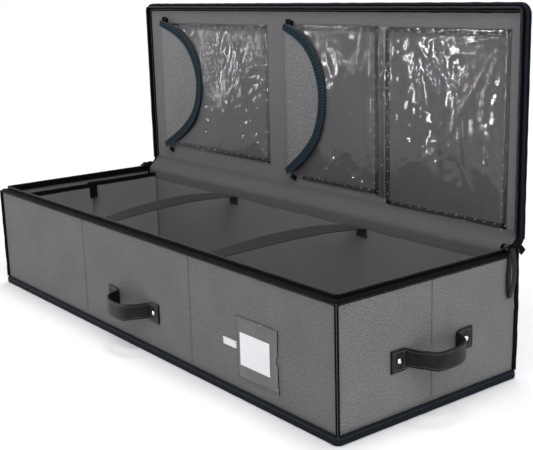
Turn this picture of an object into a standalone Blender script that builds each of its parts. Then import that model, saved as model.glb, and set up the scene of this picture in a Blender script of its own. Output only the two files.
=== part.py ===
"""A fabric gift wrap organizer: a long low zipped case with an open lid, lid pockets,
hold-down straps, carry handles and a label pocket. Metres, +Z up. The origin is on the
floor under the middle of the case, +X runs along its length, and +Y points to the lid."""

import math

import bmesh
import bpy
from mathutils import Matrix, Vector

# Sizes of the case, measured over its outer fabric
case_length = 1.004
case_depth = 0.344
rim_height = 0.193
clearance = 0.0003
cut_overrun = 0.004
least_radius = 0.0005

# Layers of a wall, from the outside in
cover_thickness = 0.001
board_thickness = 0.0024
lining_thickness = 0.001
fold_gap = 0.004
groove_depth = 0.0006
front_fold_count = 3
end_fold_count = 2

# Bindings that close the edges of the case
base_binding_height = 0.013
base_binding_width = 0.0057
binding_thickness = 0.0012
rim_flange_height = 0.008
piping_radius = 0.0022
corner_steps = 5

# Zipper halves
zip_edge_inset = 0.0073
tape_thickness = 0.001
tape_drop = 0.008
bead_radius = 0.0012
bead_sides = 7
bead_height = 0.0055
bead_gap = 0.0016
zip_corner_radius = 0.014
zip_end_margin = 0.007

# Sliders and their leather pulls
slider_length = 0.012
slider_plate_thickness = 0.001
slider_plate_gap = 0.0006
slider_plate_reach = 0.0052
slider_bridge_length = 0.003
slider_start_margin = 0.014
pull_bar_reach = 0.0050
pull_bar_radius = 0.0009
pull_arm_width = 0.0014
pull_length = 0.070
pull_width = 0.008
pull_thickness = 0.0013
pull_belly = 0.0042
pull_steps = 8

# Lid, laid out from its hinge line
hinge_reach = 0.003
hinge_rise = 0.004
lid_standoff = 0.014
lid_edge_inset = 0.003
lid_back_gap = 0.0105
lid_corner_radius = 0.018
lid_flange_width = 0.0145
lid_outer_flange_width = 0.008
lid_board_inset = 0.0085
hinge_strip_thickness = 0.0008
hinge_tip_gap = 0.00035
hinge_tip_thickness = 0.0002
hinge_taper = 0.0016
hinge_strip_end_margin = 0.020

# Lid pockets
pocket_sheet_thickness = 0.0006
pocket_depth = 0.0052
flap_thickness = 0.0009
flap_gap = 0.0045
flap_overlap = 0.026
flap_web = 0.002
flap_tape_width = 0.020
flap_tape_thickness = 0.001
flap_tape_proud = 0.001
left_pocket_end_margin = 0.056
left_pocket_width = 0.358
left_pocket_low = 0.051
left_pocket_top_margin = 0.040
left_flap_low = 0.049
left_flap_top_margin = 0.038
left_flap_reach = 0.138
middle_pocket_gap = 0.054
middle_pocket_width = 0.238
middle_pocket_low = 0.033
middle_pocket_top_margin = 0.037
middle_flap_low = 0.042
middle_flap_top_margin = 0.039
middle_flap_reach = 0.104
right_pocket_gap = 0.018
right_pocket_end_margin = 0.030
right_pocket_low = 0.020
right_pocket_top_margin = 0.038

# Pockets inside the left end
end_panel_thickness = 0.0026
end_panel_front_offset = 0.046
end_panel_back_offset = 0.034
end_panel_top_drop = 0.006
end_panel_binding_height = 0.009
end_panel_binding_proud = 0.0009
end_panel_side_gap = 0.009

# Hold-down straps
strap_width = 0.025
strap_thickness = 0.0016
left_strap_front_share = -0.241
left_strap_back_share = -0.359
left_strap_rise = 0.001
right_strap_front_share = 0.384
right_strap_back_share = 0.370
right_strap_rise = -0.002
strap_tab_length = 0.014
strap_front_drop = 0.011
strap_back_drop = 0.020

# Handles
handle_length = 0.158
handle_width = 0.032
handle_thickness = 0.003
handle_plate_length = 0.027
handle_bulge = 0.036
front_handle_height = 0.072
end_handle_height = 0.088

# Rivets
rivet_head_radius = 0.0044
rivet_head_height = 0.0016
rivet_shank_radius = 0.0016
rivet_washer_thickness = 0.0008
rivet_sides = 14

# Label pocket, its card and the little side tab
label_end_margin = 0.117
label_width = 0.098
label_low = 0.030
label_height = 0.094
label_sheet_thickness = 0.0006
label_room = 0.0012
label_border = 0.004
card_width = 0.068
card_height = 0.049
card_thickness = 0.0005
card_start_margin = 0.009
card_low_margin = 0.021
tab_length = 0.032
tab_height = 0.011
tab_thickness = 0.001
tab_low = 0.072

# Levels and planes that follow from the sizes
board_out = cover_thickness + clearance
board_in = board_out + board_thickness
lining_out = board_in + clearance
wall_thickness = lining_out + lining_thickness
wall_bottom = cover_thickness + clearance
wall_top = rim_height - binding_thickness - clearance
floor_top = wall_thickness
half_length = case_length / 2
half_depth = case_depth / 2
bead_centre = rim_height + bead_height
hinge_y = half_depth + hinge_reach
hinge_z = rim_height + hinge_rise
lid_far = hinge_y + half_depth
rim_flange_inset = wall_thickness + clearance + binding_thickness
flap_lift = clearance + pocket_depth + pocket_sheet_thickness + flap_gap

# Half outline of a carry handle, as shares of its half span and of its bulge
handle_shares = ((0.92, 0.03), (0.86, 0.27), (0.78, 0.56), (0.62, 0.83), (0.34, 0.97), (0.0, 1.0))
# Rise of a strap between its ends, as shares of its span and of its crown
strap_shares = ((0.06, 0.42), (0.22, 0.80), (0.46, 1.0), (0.72, 0.80), (0.94, 0.34))
# Curved edge of a pocket flap, as shares of its height and of its reach
flap_shares = (
    (0, 0),
    (0.06, 0.24),
    (0.15, 0.54),
    (0.27, 0.81),
    (0.40, 0.95),
    (0.54, 1.0),
    (0.66, 0.96),
    (0.78, 0.84),
    (0.88, 0.64),
    (0.95, 0.36),
    (1.0, 0),
)
# Dome of a rivet head, as shares of its radius and of its height
rivet_dome_shares = ((0.55, 0.9), (1, 0.35))
# Side of a leather pull, as shares of half its belly and of its length
pull_shares = ((0.62, 0.30), (1.0, 0.60), (0.86, 0.84), (0.45, 0.96))
# Outline of the base binding, as shares of its width and height
base_binding_shares = ((0, 0), (0.86, 0), (1, 0.10), (1, 0.80), (0.72, 1), (0, 1))


for leftover in list(bpy.data.objects):
    bpy.data.objects.remove(leftover)

parts = bpy.data.collections.new("gift_wrap_organizer")
cutters = bpy.data.collections.new("cutters")
bpy.context.scene.collection.children.link(parts)
bpy.context.scene.collection.children.link(cutters)
cutters.hide_render = True


def make_material(name, colour, roughness, metallic=0.0, alpha=1.0):
    material = bpy.data.materials.new(name)
    material.use_nodes = True
    shader = material.node_tree.nodes["Principled BSDF"]
    shader.inputs["Base Color"].default_value = (*colour, 1.0)
    shader.inputs["Roughness"].default_value = roughness
    shader.inputs["Metallic"].default_value = metallic
    shader.inputs["Alpha"].default_value = alpha
    return material


cover_fabric = make_material("grey cover fabric", (0.17, 0.17, 0.17), 0.9)
lining_fabric = make_material("grey lining fabric", (0.10, 0.10, 0.10), 0.9)
stiff_board = make_material("stiffener board", (0.32, 0.24, 0.15), 0.8)
black_tape = make_material("black binding tape", (0.012, 0.013, 0.016), 0.7)
blue_black_tape = make_material("blue black pocket tape", (0.02, 0.04, 0.055), 0.7)
zip_tape = make_material("black zipper tape", (0.01, 0.01, 0.012), 0.6)
clear_sheet = make_material("clear vinyl sheet", (0.9, 0.92, 0.93), 0.08, alpha=0.25)
black_leather = make_material("black faux leather", (0.012, 0.012, 0.012), 0.45)
rivet_metal = make_material("silver rivet metal", (0.75, 0.75, 0.76), 0.2, metallic=1.0)
slider_metal = make_material("black slider metal", (0.02, 0.02, 0.02), 0.3, metallic=1.0)
card_paper = make_material("white card", (0.85, 0.85, 0.85), 0.6)
tab_fabric = make_material("white woven tab", (0.8, 0.8, 0.8), 0.8)


def add_object(name, mesh, material, collection=parts):
    thing = bpy.data.objects.new(name, mesh)
    collection.objects.link(thing)
    if material is not None:
        mesh.materials.append(material)
    return thing


def cutter_object(name, mesh):
    thing = add_object(name, mesh, None, cutters)
    thing.hide_render = True
    thing.display_type = "WIRE"
    return thing


def box_mesh(name, low, high):
    """A box between two corners, with its scale in its points."""
    mesh = bpy.data.meshes.new(name)
    shape = bmesh.new()
    bmesh.ops.create_cube(shape, size=1.0)
    size = Vector(high) - Vector(low)
    centre = (Vector(high) + Vector(low)) / 2
    placed = Matrix.Translation(centre) @ Matrix.Diagonal((*size, 1))
    bmesh.ops.transform(shape, matrix=placed, verts=shape.verts)
    shape.to_mesh(mesh)
    shape.free()
    return mesh


def add_box(name, low, high, material):
    return add_object(name, box_mesh(name, low, high), material)


def cut(thing, tool, operation="DIFFERENCE"):
    modifier = thing.modifiers.new("cut by " + tool.name, "BOOLEAN")
    modifier.operation = operation
    modifier.solver = "EXACT"
    modifier.object = tool


def join_box(thing, low, high):
    """Joins a box to a piece, so that both are one solid."""
    name = thing.name + " addition"
    tool = cutter_object(name, box_mesh(name, low, high))
    tool.parent = thing.parent
    cut(thing, tool, "UNION")


def cut_box(thing, low, high):
    name = thing.name + " room"
    tool = cutter_object(name, box_mesh(name, low, high))
    tool.parent = thing.parent
    cut(thing, tool)


def skin(name, rings, closed):
    """A solid through rings of points; the last ring meets the first where it is closed."""
    mesh = bpy.data.meshes.new(name)
    shape = bmesh.new()
    grid = [[shape.verts.new(point) for point in ring] for ring in rings]
    count = len(grid[0])
    pairs = list(zip(grid, grid[1:])) + ([(grid[-1], grid[0])] if closed else [])
    for ring, following in pairs:
        for place in range(count):
            after = (place + 1) % count
            shape.faces.new((ring[place], ring[after], following[after], following[place]))
    if not closed:
        shape.faces.new(grid[0])
        shape.faces.new(grid[-1])
    bmesh.ops.recalc_face_normals(shape, faces=shape.faces)
    shape.to_mesh(mesh)
    shape.free()
    return mesh


def corner_arc(centre, radius, start, turn):
    points = []
    for step in range(corner_steps + 1):
        angle = start + turn * step / corner_steps
        points.append((centre[0] + radius * math.cos(angle), centre[1] + radius * math.sin(angle)))
    return points


def ring_outline(inset):
    """The outline of the case's walls, drawn in by an inset, as a closed loop."""
    x = half_length - inset
    y = half_depth - inset
    radius = max(least_radius - inset, least_radius)
    points = []
    for sign_x, sign_y, start in ((1, 1, 0), (-1, 1, 0.5), (-1, -1, 1), (1, -1, 1.5)):
        centre = (sign_x * (x - radius), sign_y * (y - radius))
        points += corner_arc(centre, radius, start * math.pi, math.pi / 2)
    return points


def open_outline(near, far, corner_radius, inset):
    """Three sides of the case, from one near end round the far side to the other near end."""
    toward = 1 if far > near else -1
    x = half_length - inset
    y = far - toward * inset
    radius = max(corner_radius - inset, least_radius)
    inner = y - toward * radius
    left = corner_arc((-x + radius, inner), radius, math.pi, -toward * math.pi / 2)
    right = corner_arc((x - radius, inner), radius, toward * math.pi / 2, -toward * math.pi / 2)
    return [(-x, near)] + left + right + [(x, near)]


def sweep(name, section, outline, closed, material):
    """Carries a section of (inset, height) points along an outline of the case."""
    rails = [outline(inset) for inset, _ in section]
    heights = [height for _, height in section]
    rings = []
    for station in range(len(rails[0])):
        rings.append([(*rail[station], height) for rail, height in zip(rails, heights)])
    return add_object(name, skin(name, rings, closed), material)


def smooth_path(points, steps=4):
    """A rounded path through the points, with a few steps from each to the next."""
    ends = [points[0]] + list(points) + [points[-1]]
    path = []
    for a, b, c, d in zip(ends, ends[1:], ends[2:], ends[3:]):
        for step in range(steps):
            t = step / steps
            place = []
            for p, q, r, s in zip(a, b, c, d):
                curve = 2 * q + (r - p) * t + (2 * p - 5 * q + 4 * r - s) * t**2
                curve += (3 * q - p - 3 * r + s) * t**3
                place.append(curve / 2)
            path.append(tuple(place))
    return path + [points[-1]]


def ribbon_section(path, thickness):
    """The closed outline of a band of one thickness that follows a flat path."""
    sides = ([], [])
    for place, point in enumerate(path):
        before = Vector(path[max(place - 1, 0)])
        after = Vector(path[min(place + 1, len(path) - 1)])
        along = (after - before).normalized()
        across = Vector((-along.y, along.x)) * thickness / 2
        sides[0].append(Vector(point) + across)
        sides[1].append(Vector(point) - across)
    return sides[0] + sides[1][::-1]


def prism(name, outline, low, high):
    """A solid with a flat outline in Y and Z that runs along X from low to high."""
    rings = [[(x, *point) for point in outline] for x in (low, high)]
    return skin(name, rings, False)


def plate(name, outline, low, high, material):
    """A flat outline in X and Y, made a solid by a curve that is extruded half its thickness."""
    curve = bpy.data.curves.new(name, "CURVE")
    curve.dimensions = "2D"
    curve.fill_mode = "BOTH"
    curve.extrude = (high - low) / 2
    for loop in outline:
        spline = curve.splines.new("POLY")
        spline.points.add(len(loop) - 1)
        for point, place in zip(spline.points, loop):
            point.co = (*place, 0.0, 1.0)
        spline.use_cyclic_u = True
    guide = bpy.data.objects.new(name, curve)
    cutters.objects.link(guide)
    guide.location.z = (high + low) / 2
    bpy.context.view_layer.update()
    evaluated = guide.evaluated_get(bpy.context.evaluated_depsgraph_get())
    mesh = bpy.data.meshes.new_from_object(evaluated)
    mesh.transform(guide.matrix_world)
    bpy.data.objects.remove(guide)
    shape = bmesh.new()
    shape.from_mesh(mesh)
    bmesh.ops.remove_doubles(shape, verts=shape.verts, dist=clearance / 100)
    bmesh.ops.recalc_face_normals(shape, faces=shape.faces)
    shape.to_mesh(mesh)
    shape.free()
    mesh.materials.clear()
    return add_object(name, mesh, material)


def groove_tool(name, x, y):
    """A four-sided upright cutter that presses a fold line into the cover."""
    mesh = bpy.data.meshes.new(name)
    shape = bmesh.new()
    bmesh.ops.create_cone(
        shape, cap_ends=True, segments=4, radius1=groove_depth, radius2=groove_depth, depth=rim_height * 2
    )
    bmesh.ops.transform(shape, matrix=Matrix.Translation((x, y, 0)), verts=shape.verts)
    shape.to_mesh(mesh)
    shape.free()
    return cutter_object(name, mesh)


def fold_places(half_span, count):
    return [half_span * (2 * fold / count - 1) for fold in range(1, count)]


def board_spans(half_span, count, folds):
    """Where each stiffener board starts and ends between the fold lines."""
    edges = [-half_span] + folds + [half_span]
    spans = []
    for place in range(count):
        low = edges[place] + (fold_gap / 2 if place else 0)
        high = edges[place + 1] - (fold_gap / 2 if place < count - 1 else 0)
        spans.append((low, high))
    return spans


# Floor of the case
add_box(
    "base_cover",
    (-half_length, -half_depth, 0),
    (half_length, half_depth, cover_thickness),
    cover_fabric,
)
add_box(
    "base_board",
    (-half_length + lining_out, -half_depth + lining_out, board_out),
    (half_length - lining_out, half_depth - lining_out, board_in),
    stiff_board,
)
base_section = [
    (-clearance - across * base_binding_width, up * base_binding_height)
    for across, up in base_binding_shares
]
sweep("base_binding", base_section, ring_outline, True, black_tape)

# Covers of the four walls, each with its fold lines
front_folds = fold_places(half_length, front_fold_count)
end_folds = fold_places(half_depth, end_fold_count)
end_cover_reach = half_depth - cover_thickness - clearance
covers = {}
for side, name in ((-1, "front_cover"), (1, "back_cover")):
    outer = side * half_depth
    inner = side * (half_depth - cover_thickness)
    covers[name] = add_box(
        name,
        (-half_length, min(outer, inner), wall_bottom),
        (half_length, max(outer, inner), wall_top),
        cover_fabric,
    )
    for place, fold in enumerate(front_folds):
        cut(covers[name], groove_tool(name + " groove " + str(place), fold, outer))
for side, name in ((-1, "left_cover"), (1, "right_cover")):
    outer = side * half_length
    inner = side * (half_length - cover_thickness)
    covers[name] = add_box(
        name,
        (min(outer, inner), -end_cover_reach, wall_bottom),
        (max(outer, inner), end_cover_reach, wall_top),
        cover_fabric,
    )
    for place, fold in enumerate(end_folds):
        cut(covers[name], groove_tool(name + " groove " + str(place), outer, fold))

# Stiffener boards between the covers and the lining
boards = {}
for side, wall in ((-1, "front"), (1, "back")):
    near, far = sorted((side * (half_depth - board_out), side * (half_depth - board_in)))
    spans = board_spans(half_length - board_out, front_fold_count, front_folds)
    for (low, high), part in zip(spans, ("left", "middle", "right")):
        name = wall + "_board_" + part
        boards[name] = add_box(name, (low, near, wall_bottom), (high, far, wall_top), stiff_board)
for side, wall in ((-1, "left"), (1, "right")):
    near, far = sorted((side * (half_length - board_out), side * (half_length - board_in)))
    spans = board_spans(half_depth - lining_out, end_fold_count, end_folds)
    for (low, high), part in zip(spans, ("front", "back")):
        name = wall + "_board_" + part
        boards[name] = add_box(name, (near, low, wall_bottom), (far, high, wall_top), stiff_board)

# Lining, one tub that is open at the top
lining_low = (-half_length + lining_out, -half_depth + lining_out, lining_out)
lining_high = (half_length - lining_out, half_depth - lining_out, wall_top)
lining = add_box("case_lining", lining_low, lining_high, lining_fabric)
cut_box(
    lining,
    (lining_low[0] + lining_thickness, lining_low[1] + lining_thickness, floor_top),
    (lining_high[0] - lining_thickness, lining_high[1] - lining_thickness, wall_top + cut_overrun),
)

# Piping down each upright corner
piping_offset = (piping_radius + 2 * clearance) / math.sqrt(2)
piping_low = base_binding_height + clearance
piping_high = rim_height - rim_flange_height - clearance
for side_x, end in ((-1, "left"), (1, "right")):
    for side_y, wall in ((-1, "front"), (1, "back")):
        name = "corner_piping_" + wall + "_" + end
        mesh = bpy.data.meshes.new(name)
        shape = bmesh.new()
        bmesh.ops.create_cone(
            shape,
            cap_ends=True,
            segments=12,
            radius1=piping_radius,
            radius2=piping_radius,
            depth=piping_high - piping_low,
        )
        shape.to_mesh(mesh)
        shape.free()
        piping = add_object(name, mesh, black_tape)
        piping.location = (
            side_x * (half_length + piping_offset),
            side_y * (half_depth + piping_offset),
            (piping_high + piping_low) / 2,
        )


def hinge_leaf(foot, axis):
    """The outline of a fabric leaf that thins toward its tip, just short of the hinge axis."""
    along = (foot - axis).normalized()
    across = Vector((-along.y, along.x))
    points = []
    for side in (-1, 1):
        edge = [axis + along * hinge_tip_gap + across * side * hinge_tip_thickness / 2]
        edge.append(axis + along * hinge_taper + across * side * hinge_strip_thickness / 2)
        edge.append(foot + across * side * hinge_strip_thickness / 2)
        points += edge if side > 0 else edge[::-1]
    return points


# Binding that folds over the top of the walls, with the fixed leaf of the hinge at the back
rim_outside = -clearance - binding_thickness
rim_section = [
    (rim_outside, rim_height - rim_flange_height),
    (rim_outside, rim_height),
    (rim_flange_inset, rim_height),
    (rim_flange_inset, rim_height - rim_flange_height),
    (rim_flange_inset - binding_thickness, rim_height - rim_flange_height),
    (rim_flange_inset - binding_thickness, rim_height - binding_thickness),
    (-clearance, rim_height - binding_thickness),
    (-clearance, rim_height - rim_flange_height),
]
rim = sweep("rim_binding", rim_section, ring_outline, True, black_tape)
hinge_half_length = half_length - hinge_strip_end_margin
leaf_foot = Vector((half_depth, rim_height - binding_thickness / 2))
leaf_outline = hinge_leaf(leaf_foot, Vector((hinge_y, hinge_z)))
leaf = cutter_object("fixed leaf", prism("fixed leaf", leaf_outline, -hinge_half_length, hinge_half_length))
cut(rim, leaf, "UNION")


def zip_section(foot, bead):
    """A tape that rises from its foot to a round bead along its edge."""
    half = tape_thickness / 2
    neck = math.asin(half / bead_radius)
    section = [(zip_edge_inset - half, foot)]
    for step in range(bead_sides + 1):
        angle = -math.pi / 2 - neck - 2 * (math.pi - neck) * step / bead_sides
        across = zip_edge_inset + bead_radius * math.cos(angle)
        section.append((across, bead + bead_radius * math.sin(angle)))
    return section + [(zip_edge_inset + half, foot)]


# Zipper half on the case, along the left end, the front and the right end
case_zip_near = half_depth - zip_end_margin
case_zip = sweep(
    "case_zipper",
    zip_section(rim_height - tape_drop, bead_centre),
    lambda inset: open_outline(case_zip_near, -half_depth, zip_corner_radius, inset),
    False,
    zip_tape,
)

# Pockets inside the left end
panel_side = half_depth - end_panel_side_gap
panel_top = rim_height - end_panel_top_drop
panel_low = floor_top + clearance
left_face = -half_length + wall_thickness
divider_half = end_panel_thickness / 2
front_panel_x = -half_length + end_panel_front_offset
back_panel_x = -half_length + end_panel_back_offset
front_panel = add_box(
    "end_pocket_panel_front",
    (front_panel_x, -panel_side, panel_low),
    (front_panel_x + end_panel_thickness, divider_half, panel_top),
    lining_fabric,
)
join_box(
    front_panel,
    (left_face + clearance, -divider_half, panel_low),
    (front_panel_x + end_panel_thickness / 2, divider_half, panel_top - end_panel_binding_height),
)
join_box(
    front_panel,
    (front_panel_x - end_panel_binding_proud, -panel_side, panel_top - end_panel_binding_height),
    (front_panel_x + end_panel_thickness + end_panel_binding_proud, divider_half, panel_top),
)
back_panel = add_box(
    "end_pocket_panel_back",
    (back_panel_x, divider_half + clearance, panel_low),
    (back_panel_x + end_panel_thickness, panel_side, panel_top),
    lining_fabric,
)
panel_hem = panel_top - end_panel_binding_height
join_box(
    back_panel,
    (back_panel_x - end_panel_binding_proud, divider_half + clearance, panel_hem),
    (back_panel_x + end_panel_thickness + end_panel_binding_proud, panel_side, panel_top),
)


def add_strap(name, front_share, back_share, crown_rise):
    """A band that rises from the front wall, crosses the case and ends on the back wall."""
    front_x = half_length * front_share
    back_x = half_length * back_share
    crown = rim_height + crown_rise
    wall = half_depth - wall_thickness - clearance - strap_thickness / 2
    front_z = rim_height - strap_front_drop
    back_z = rim_height - strap_back_drop
    points = [(-wall, front_z)]
    for along, rise in strap_shares:
        chord = front_z + (back_z - front_z) * along
        points.append((wall * (2 * along - 1), chord + (crown - strap_thickness / 2 - chord) * rise))
    points.append((wall, back_z))
    front_end = (-wall, front_z - strap_tab_length)
    back_end = (wall, back_z - strap_tab_length)
    path = [front_end, *smooth_path(points, 3), back_end]
    outline = ribbon_section(path, strap_thickness)
    mesh = prism(name, outline, -strap_width / 2, strap_width / 2)
    slope = (back_x - front_x) / (2 * wall)
    for corner in mesh.vertices:
        corner.co.x += front_x + slope * (corner.co.y + wall)
    return add_object(name, mesh, black_tape)


add_strap("hold_down_strap_left", left_strap_front_share, left_strap_back_share, left_strap_rise)
add_strap("hold_down_strap_right", right_strap_front_share, right_strap_back_share, right_strap_rise)

# Handles: one strap each, flat at both ends and riveted through the wall
handle_half = handle_length / 2
handle_seat = clearance + handle_thickness / 2
loop_half = handle_half - handle_plate_length
rivet_place = handle_half - handle_plate_length / 2


def handle_path():
    """Half of the strap's path from its flat end to its middle, then the other half."""
    half = [(handle_half, handle_seat), (loop_half, handle_seat)]
    for along, out in handle_shares:
        half.append((loop_half * along, handle_seat + (handle_bulge - handle_seat) * out))
    return half + [(-along, out) for along, out in half[-2::-1]]


def rivet_mesh(name):
    """A rivet with a domed head, its shank through the wall and its washer inside."""
    seat = handle_thickness + 2 * clearance
    inside = -wall_thickness - clearance
    dome = [
        (rivet_head_radius * across, seat + rivet_head_height * up) for across, up in rivet_dome_shares
    ]
    profile = (
        (0, seat + rivet_head_height),
        *dome,
        (rivet_head_radius, seat),
        (rivet_shank_radius, seat),
        (rivet_shank_radius, inside),
        (rivet_head_radius, inside),
        (rivet_head_radius, inside - rivet_washer_thickness),
        (0, inside - rivet_washer_thickness),
    )
    mesh = bpy.data.meshes.new(name)
    mesh.from_pydata([(x, 0, z) for x, z in profile], [(n, n + 1) for n in range(len(profile) - 1)], [])
    return mesh


def add_rivet(name, matrix):
    rivet = add_object(name, rivet_mesh(name), rivet_metal)
    rivet.matrix_world = matrix
    turn = rivet.modifiers.new("turned", "SCREW")
    turn.steps = rivet_sides
    turn.render_steps = rivet_sides
    turn.use_merge_vertices = True
    turn.merge_threshold = clearance / 10
    return rivet


def hole_tool(name, matrix):
    mesh = bpy.data.meshes.new(name)
    shape = bmesh.new()
    radius = rivet_shank_radius + clearance
    bmesh.ops.create_cone(
        shape, cap_ends=True, segments=rivet_sides, radius1=radius, radius2=radius, depth=2 * handle_bulge
    )
    shape.to_mesh(mesh)
    shape.free()
    tool = cutter_object(name, mesh)
    tool.matrix_world = matrix
    return tool


def handle_holes(name, frame_matrix, walls):
    """Rivets and their holes through the strap and every layer of the wall behind it."""
    for side, end in ((-1, "a"), (1, "b")):
        along_wall = Matrix.Translation((side * rivet_place, 0, 0))
        place = frame_matrix @ along_wall @ Matrix.Rotation(-math.pi / 2, 4, "X")
        add_rivet(name + "_rivet_" + end, place)
        depth_tool = hole_tool(name + " hole " + end, place)
        for layer in walls[end]:
            cut(layer, depth_tool)


def add_handle(name, location, turn, walls):
    """A handle on a wall: its own X runs along the wall and its own Y points away from it."""
    rings = []
    for height in (-handle_width / 2, handle_width / 2):
        outline = ribbon_section(smooth_path(handle_path(), 3), handle_thickness)
        rings.append([(*point, height) for point in outline])
    handle = add_object(name, skin(name, rings, False), black_leather)
    frame_matrix = Matrix.Translation(location) @ Matrix.Rotation(turn, 4, "Z")
    handle.matrix_world = frame_matrix
    layers = {end: [handle, *walls[end]] for end in walls}
    handle_holes(name, frame_matrix, layers)


add_handle(
    "front_handle",
    (0, -half_depth, front_handle_height),
    math.pi,
    {end: (covers["front_cover"], boards["front_board_middle"], lining) for end in "ab"},
)
add_handle(
    "right_handle",
    (half_length, 0, end_handle_height),
    -math.pi / 2,
    {
        "a": (covers["right_cover"], boards["right_board_back"], lining),
        "b": (covers["right_cover"], boards["right_board_front"], lining),
    },
)
add_handle(
    "left_handle",
    (-half_length, 0, end_handle_height),
    math.pi / 2,
    {
        "a": (covers["left_cover"], boards["left_board_front"], lining),
        "b": (covers["left_cover"], boards["left_board_back"], lining),
    },
)

# Label pocket: a clear sheet sewn down on three sides and open on the right
label_end = half_length - label_end_margin
label_start = label_end - label_width
label_face = -half_depth - clearance
label_outer = label_face - label_room - label_sheet_thickness
label_high = label_low + label_height
label_window = add_box(
    "label_window", (label_start, label_outer, label_low), (label_end, label_face, label_high), clear_sheet
)
cut_box(
    label_window,
    (label_start + label_border, label_outer + label_sheet_thickness, label_low + label_border),
    (label_end + cut_overrun, label_face + cut_overrun, label_high - label_border),
)
card_x = label_start + card_start_margin
card_z = label_low + card_low_margin
card_y = label_face - (label_room - card_thickness) / 2
add_box(
    "label_card",
    (card_x, card_y - card_thickness, card_z),
    (card_x + card_width, card_y, card_z + card_height),
    card_paper,
)
add_box(
    "side_tab",
    (label_start - clearance - tab_length, label_face - tab_thickness, tab_low),
    (label_start - clearance, label_face, tab_low + tab_height),
    tab_fabric,
)


def add_slider(side, name):
    """A slider that straddles both zipper beads, with a bar over the rim for its pull."""
    inset = zip_edge_inset
    inner_reach = bead_radius + slider_plate_gap
    middle = (bead_centre + bead_radius + bead_centre + bead_radius + bead_gap) / 2
    start = half_depth - slider_start_margin
    ends = (start - slider_length / 2, start + slider_length / 2)

    def span(inset_a, inset_b):
        return sorted((side * (half_length - inset_a), side * (half_length - inset_b)))

    outer_x = span(inset - inner_reach - slider_plate_thickness, inset - inner_reach)
    slider = add_box(
        name,
        (outer_x[0], ends[0], middle - slider_plate_reach),
        (outer_x[1], ends[1], middle + slider_plate_reach),
        slider_metal,
    )
    inner_x = span(inset + inner_reach, inset + inner_reach + slider_plate_thickness)
    join_box(
        slider,
        (inner_x[0], ends[0], middle - slider_plate_reach),
        (inner_x[1], ends[1], middle + slider_plate_reach),
    )
    bridge_x = span(inset - inner_reach - clearance, inset + inner_reach + clearance)
    bridge_half = bead_gap / 2 - clearance
    join_box(
        slider,
        (bridge_x[0], start - slider_bridge_length / 2, middle - bridge_half),
        (bridge_x[1], start + slider_bridge_length / 2, middle + bridge_half),
    )
    arm_start = pull_width / 2 + clearance
    arm_inset = inset - inner_reach - slider_plate_thickness + clearance
    arm_x = span(arm_inset, -pull_bar_reach - pull_bar_radius)
    for way in (-1, 1):
        near, far = sorted((start + way * arm_start, start + way * (arm_start + pull_arm_width)))
        join_box(
            slider,
            (arm_x[0], near, bead_centre - pull_bar_radius),
            (arm_x[1], far, bead_centre + pull_bar_radius),
        )
    bar_x = span(-pull_bar_reach + pull_bar_radius, -pull_bar_reach - pull_bar_radius)
    bar_half = arm_start + pull_arm_width / 2
    join_box(
        slider,
        (bar_x[0], start - bar_half, bead_centre - pull_bar_radius),
        (bar_x[1], start + bar_half, bead_centre + pull_bar_radius),
    )
    return start


def add_pull(side, name, start):
    """A leather strip folded into a long loop round the slider's bar."""
    room = pull_bar_radius * math.sqrt(2) + clearance
    middle = room + pull_thickness / 2
    outline = []
    for step in range(pull_steps + 1):
        angle = math.pi * step / pull_steps
        outline.append((middle * math.cos(angle), middle * math.sin(angle)))
    foot = pull_thickness / 2 + clearance
    left = []
    for out, along in pull_shares:
        left.append((-(foot + (pull_belly / 2 - foot) * out), -pull_length * along))
    side_path = smooth_path([outline[-1], *left, (0, -pull_length)], 2)
    path = outline + side_path[1:]
    path += [(-x, z) for x, z in side_path[-2:0:-1]]
    loop_outer = []
    loop_inner = []
    count = len(path)
    for place, point in enumerate(path):
        before = Vector(path[place - 1])
        after = Vector(path[(place + 1) % count])
        along = (after - before).normalized()
        across = Vector((along.y, -along.x)) * pull_thickness / 2
        loop_outer.append(Vector(point) + across)
        loop_inner.append(Vector(point) - across)
    rings = []
    for outer, inner in zip(loop_outer, loop_inner):
        rings.append(
            [
                (outer.x, -pull_width / 2, outer.y),
                (outer.x, pull_width / 2, outer.y),
                (inner.x, pull_width / 2, inner.y),
                (inner.x, -pull_width / 2, inner.y),
            ]
        )
    pull = add_object(name, skin(name, rings, True), black_leather)
    pull.location = (side * (half_length + pull_bar_reach), start, bead_centre)
    return pull


for side, end in ((-1, "left"), (1, "right")):
    slider_place = add_slider(side, end + "_slider")
    add_pull(side, end + "_pull", slider_place)

# Lid: its pieces lie flat, with the hinge line along X, and the parent stands them up
lid_parent = bpy.data.objects.new("lid hinge line", None)
parts.objects.link(lid_parent)
lid_parent.location = (0, hinge_y, hinge_z)
lid_parent.rotation_euler.x = math.pi / 2
lining_face = -lid_standoff
lid_board_top = lining_face - lining_thickness - clearance
lid_layers = {
    "lining": (lining_face - lining_thickness, lining_face),
    "board": (lid_board_top - board_thickness, lid_board_top),
}
lid_cover_top = lid_layers["board"][0] - clearance
lid_layers["cover"] = (lid_cover_top - cover_thickness, lid_cover_top)


def on_lid(thing):
    thing.parent = lid_parent
    return thing


def lid_outline(inset):
    return open_outline(lid_back_gap, lid_far, lid_corner_radius, inset)


on_lid(plate("lid_cover", [lid_outline(lid_edge_inset)], *lid_layers["cover"], cover_fabric))
on_lid(plate("lid_lining", [lid_outline(lid_edge_inset)], *lid_layers["lining"], lining_fabric))
lid_spans = board_spans(half_length - lid_board_inset, front_fold_count, front_folds)
for (low, high), part in zip(lid_spans, ("left", "middle", "right")):
    board_low, board_high = lid_layers["board"]
    on_lid(
        add_box(
            "lid_board_" + part,
            (low, lid_back_gap + clearance, board_low),
            (high, lid_far - lid_board_inset, board_high),
            stiff_board,
        )
    )

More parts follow.
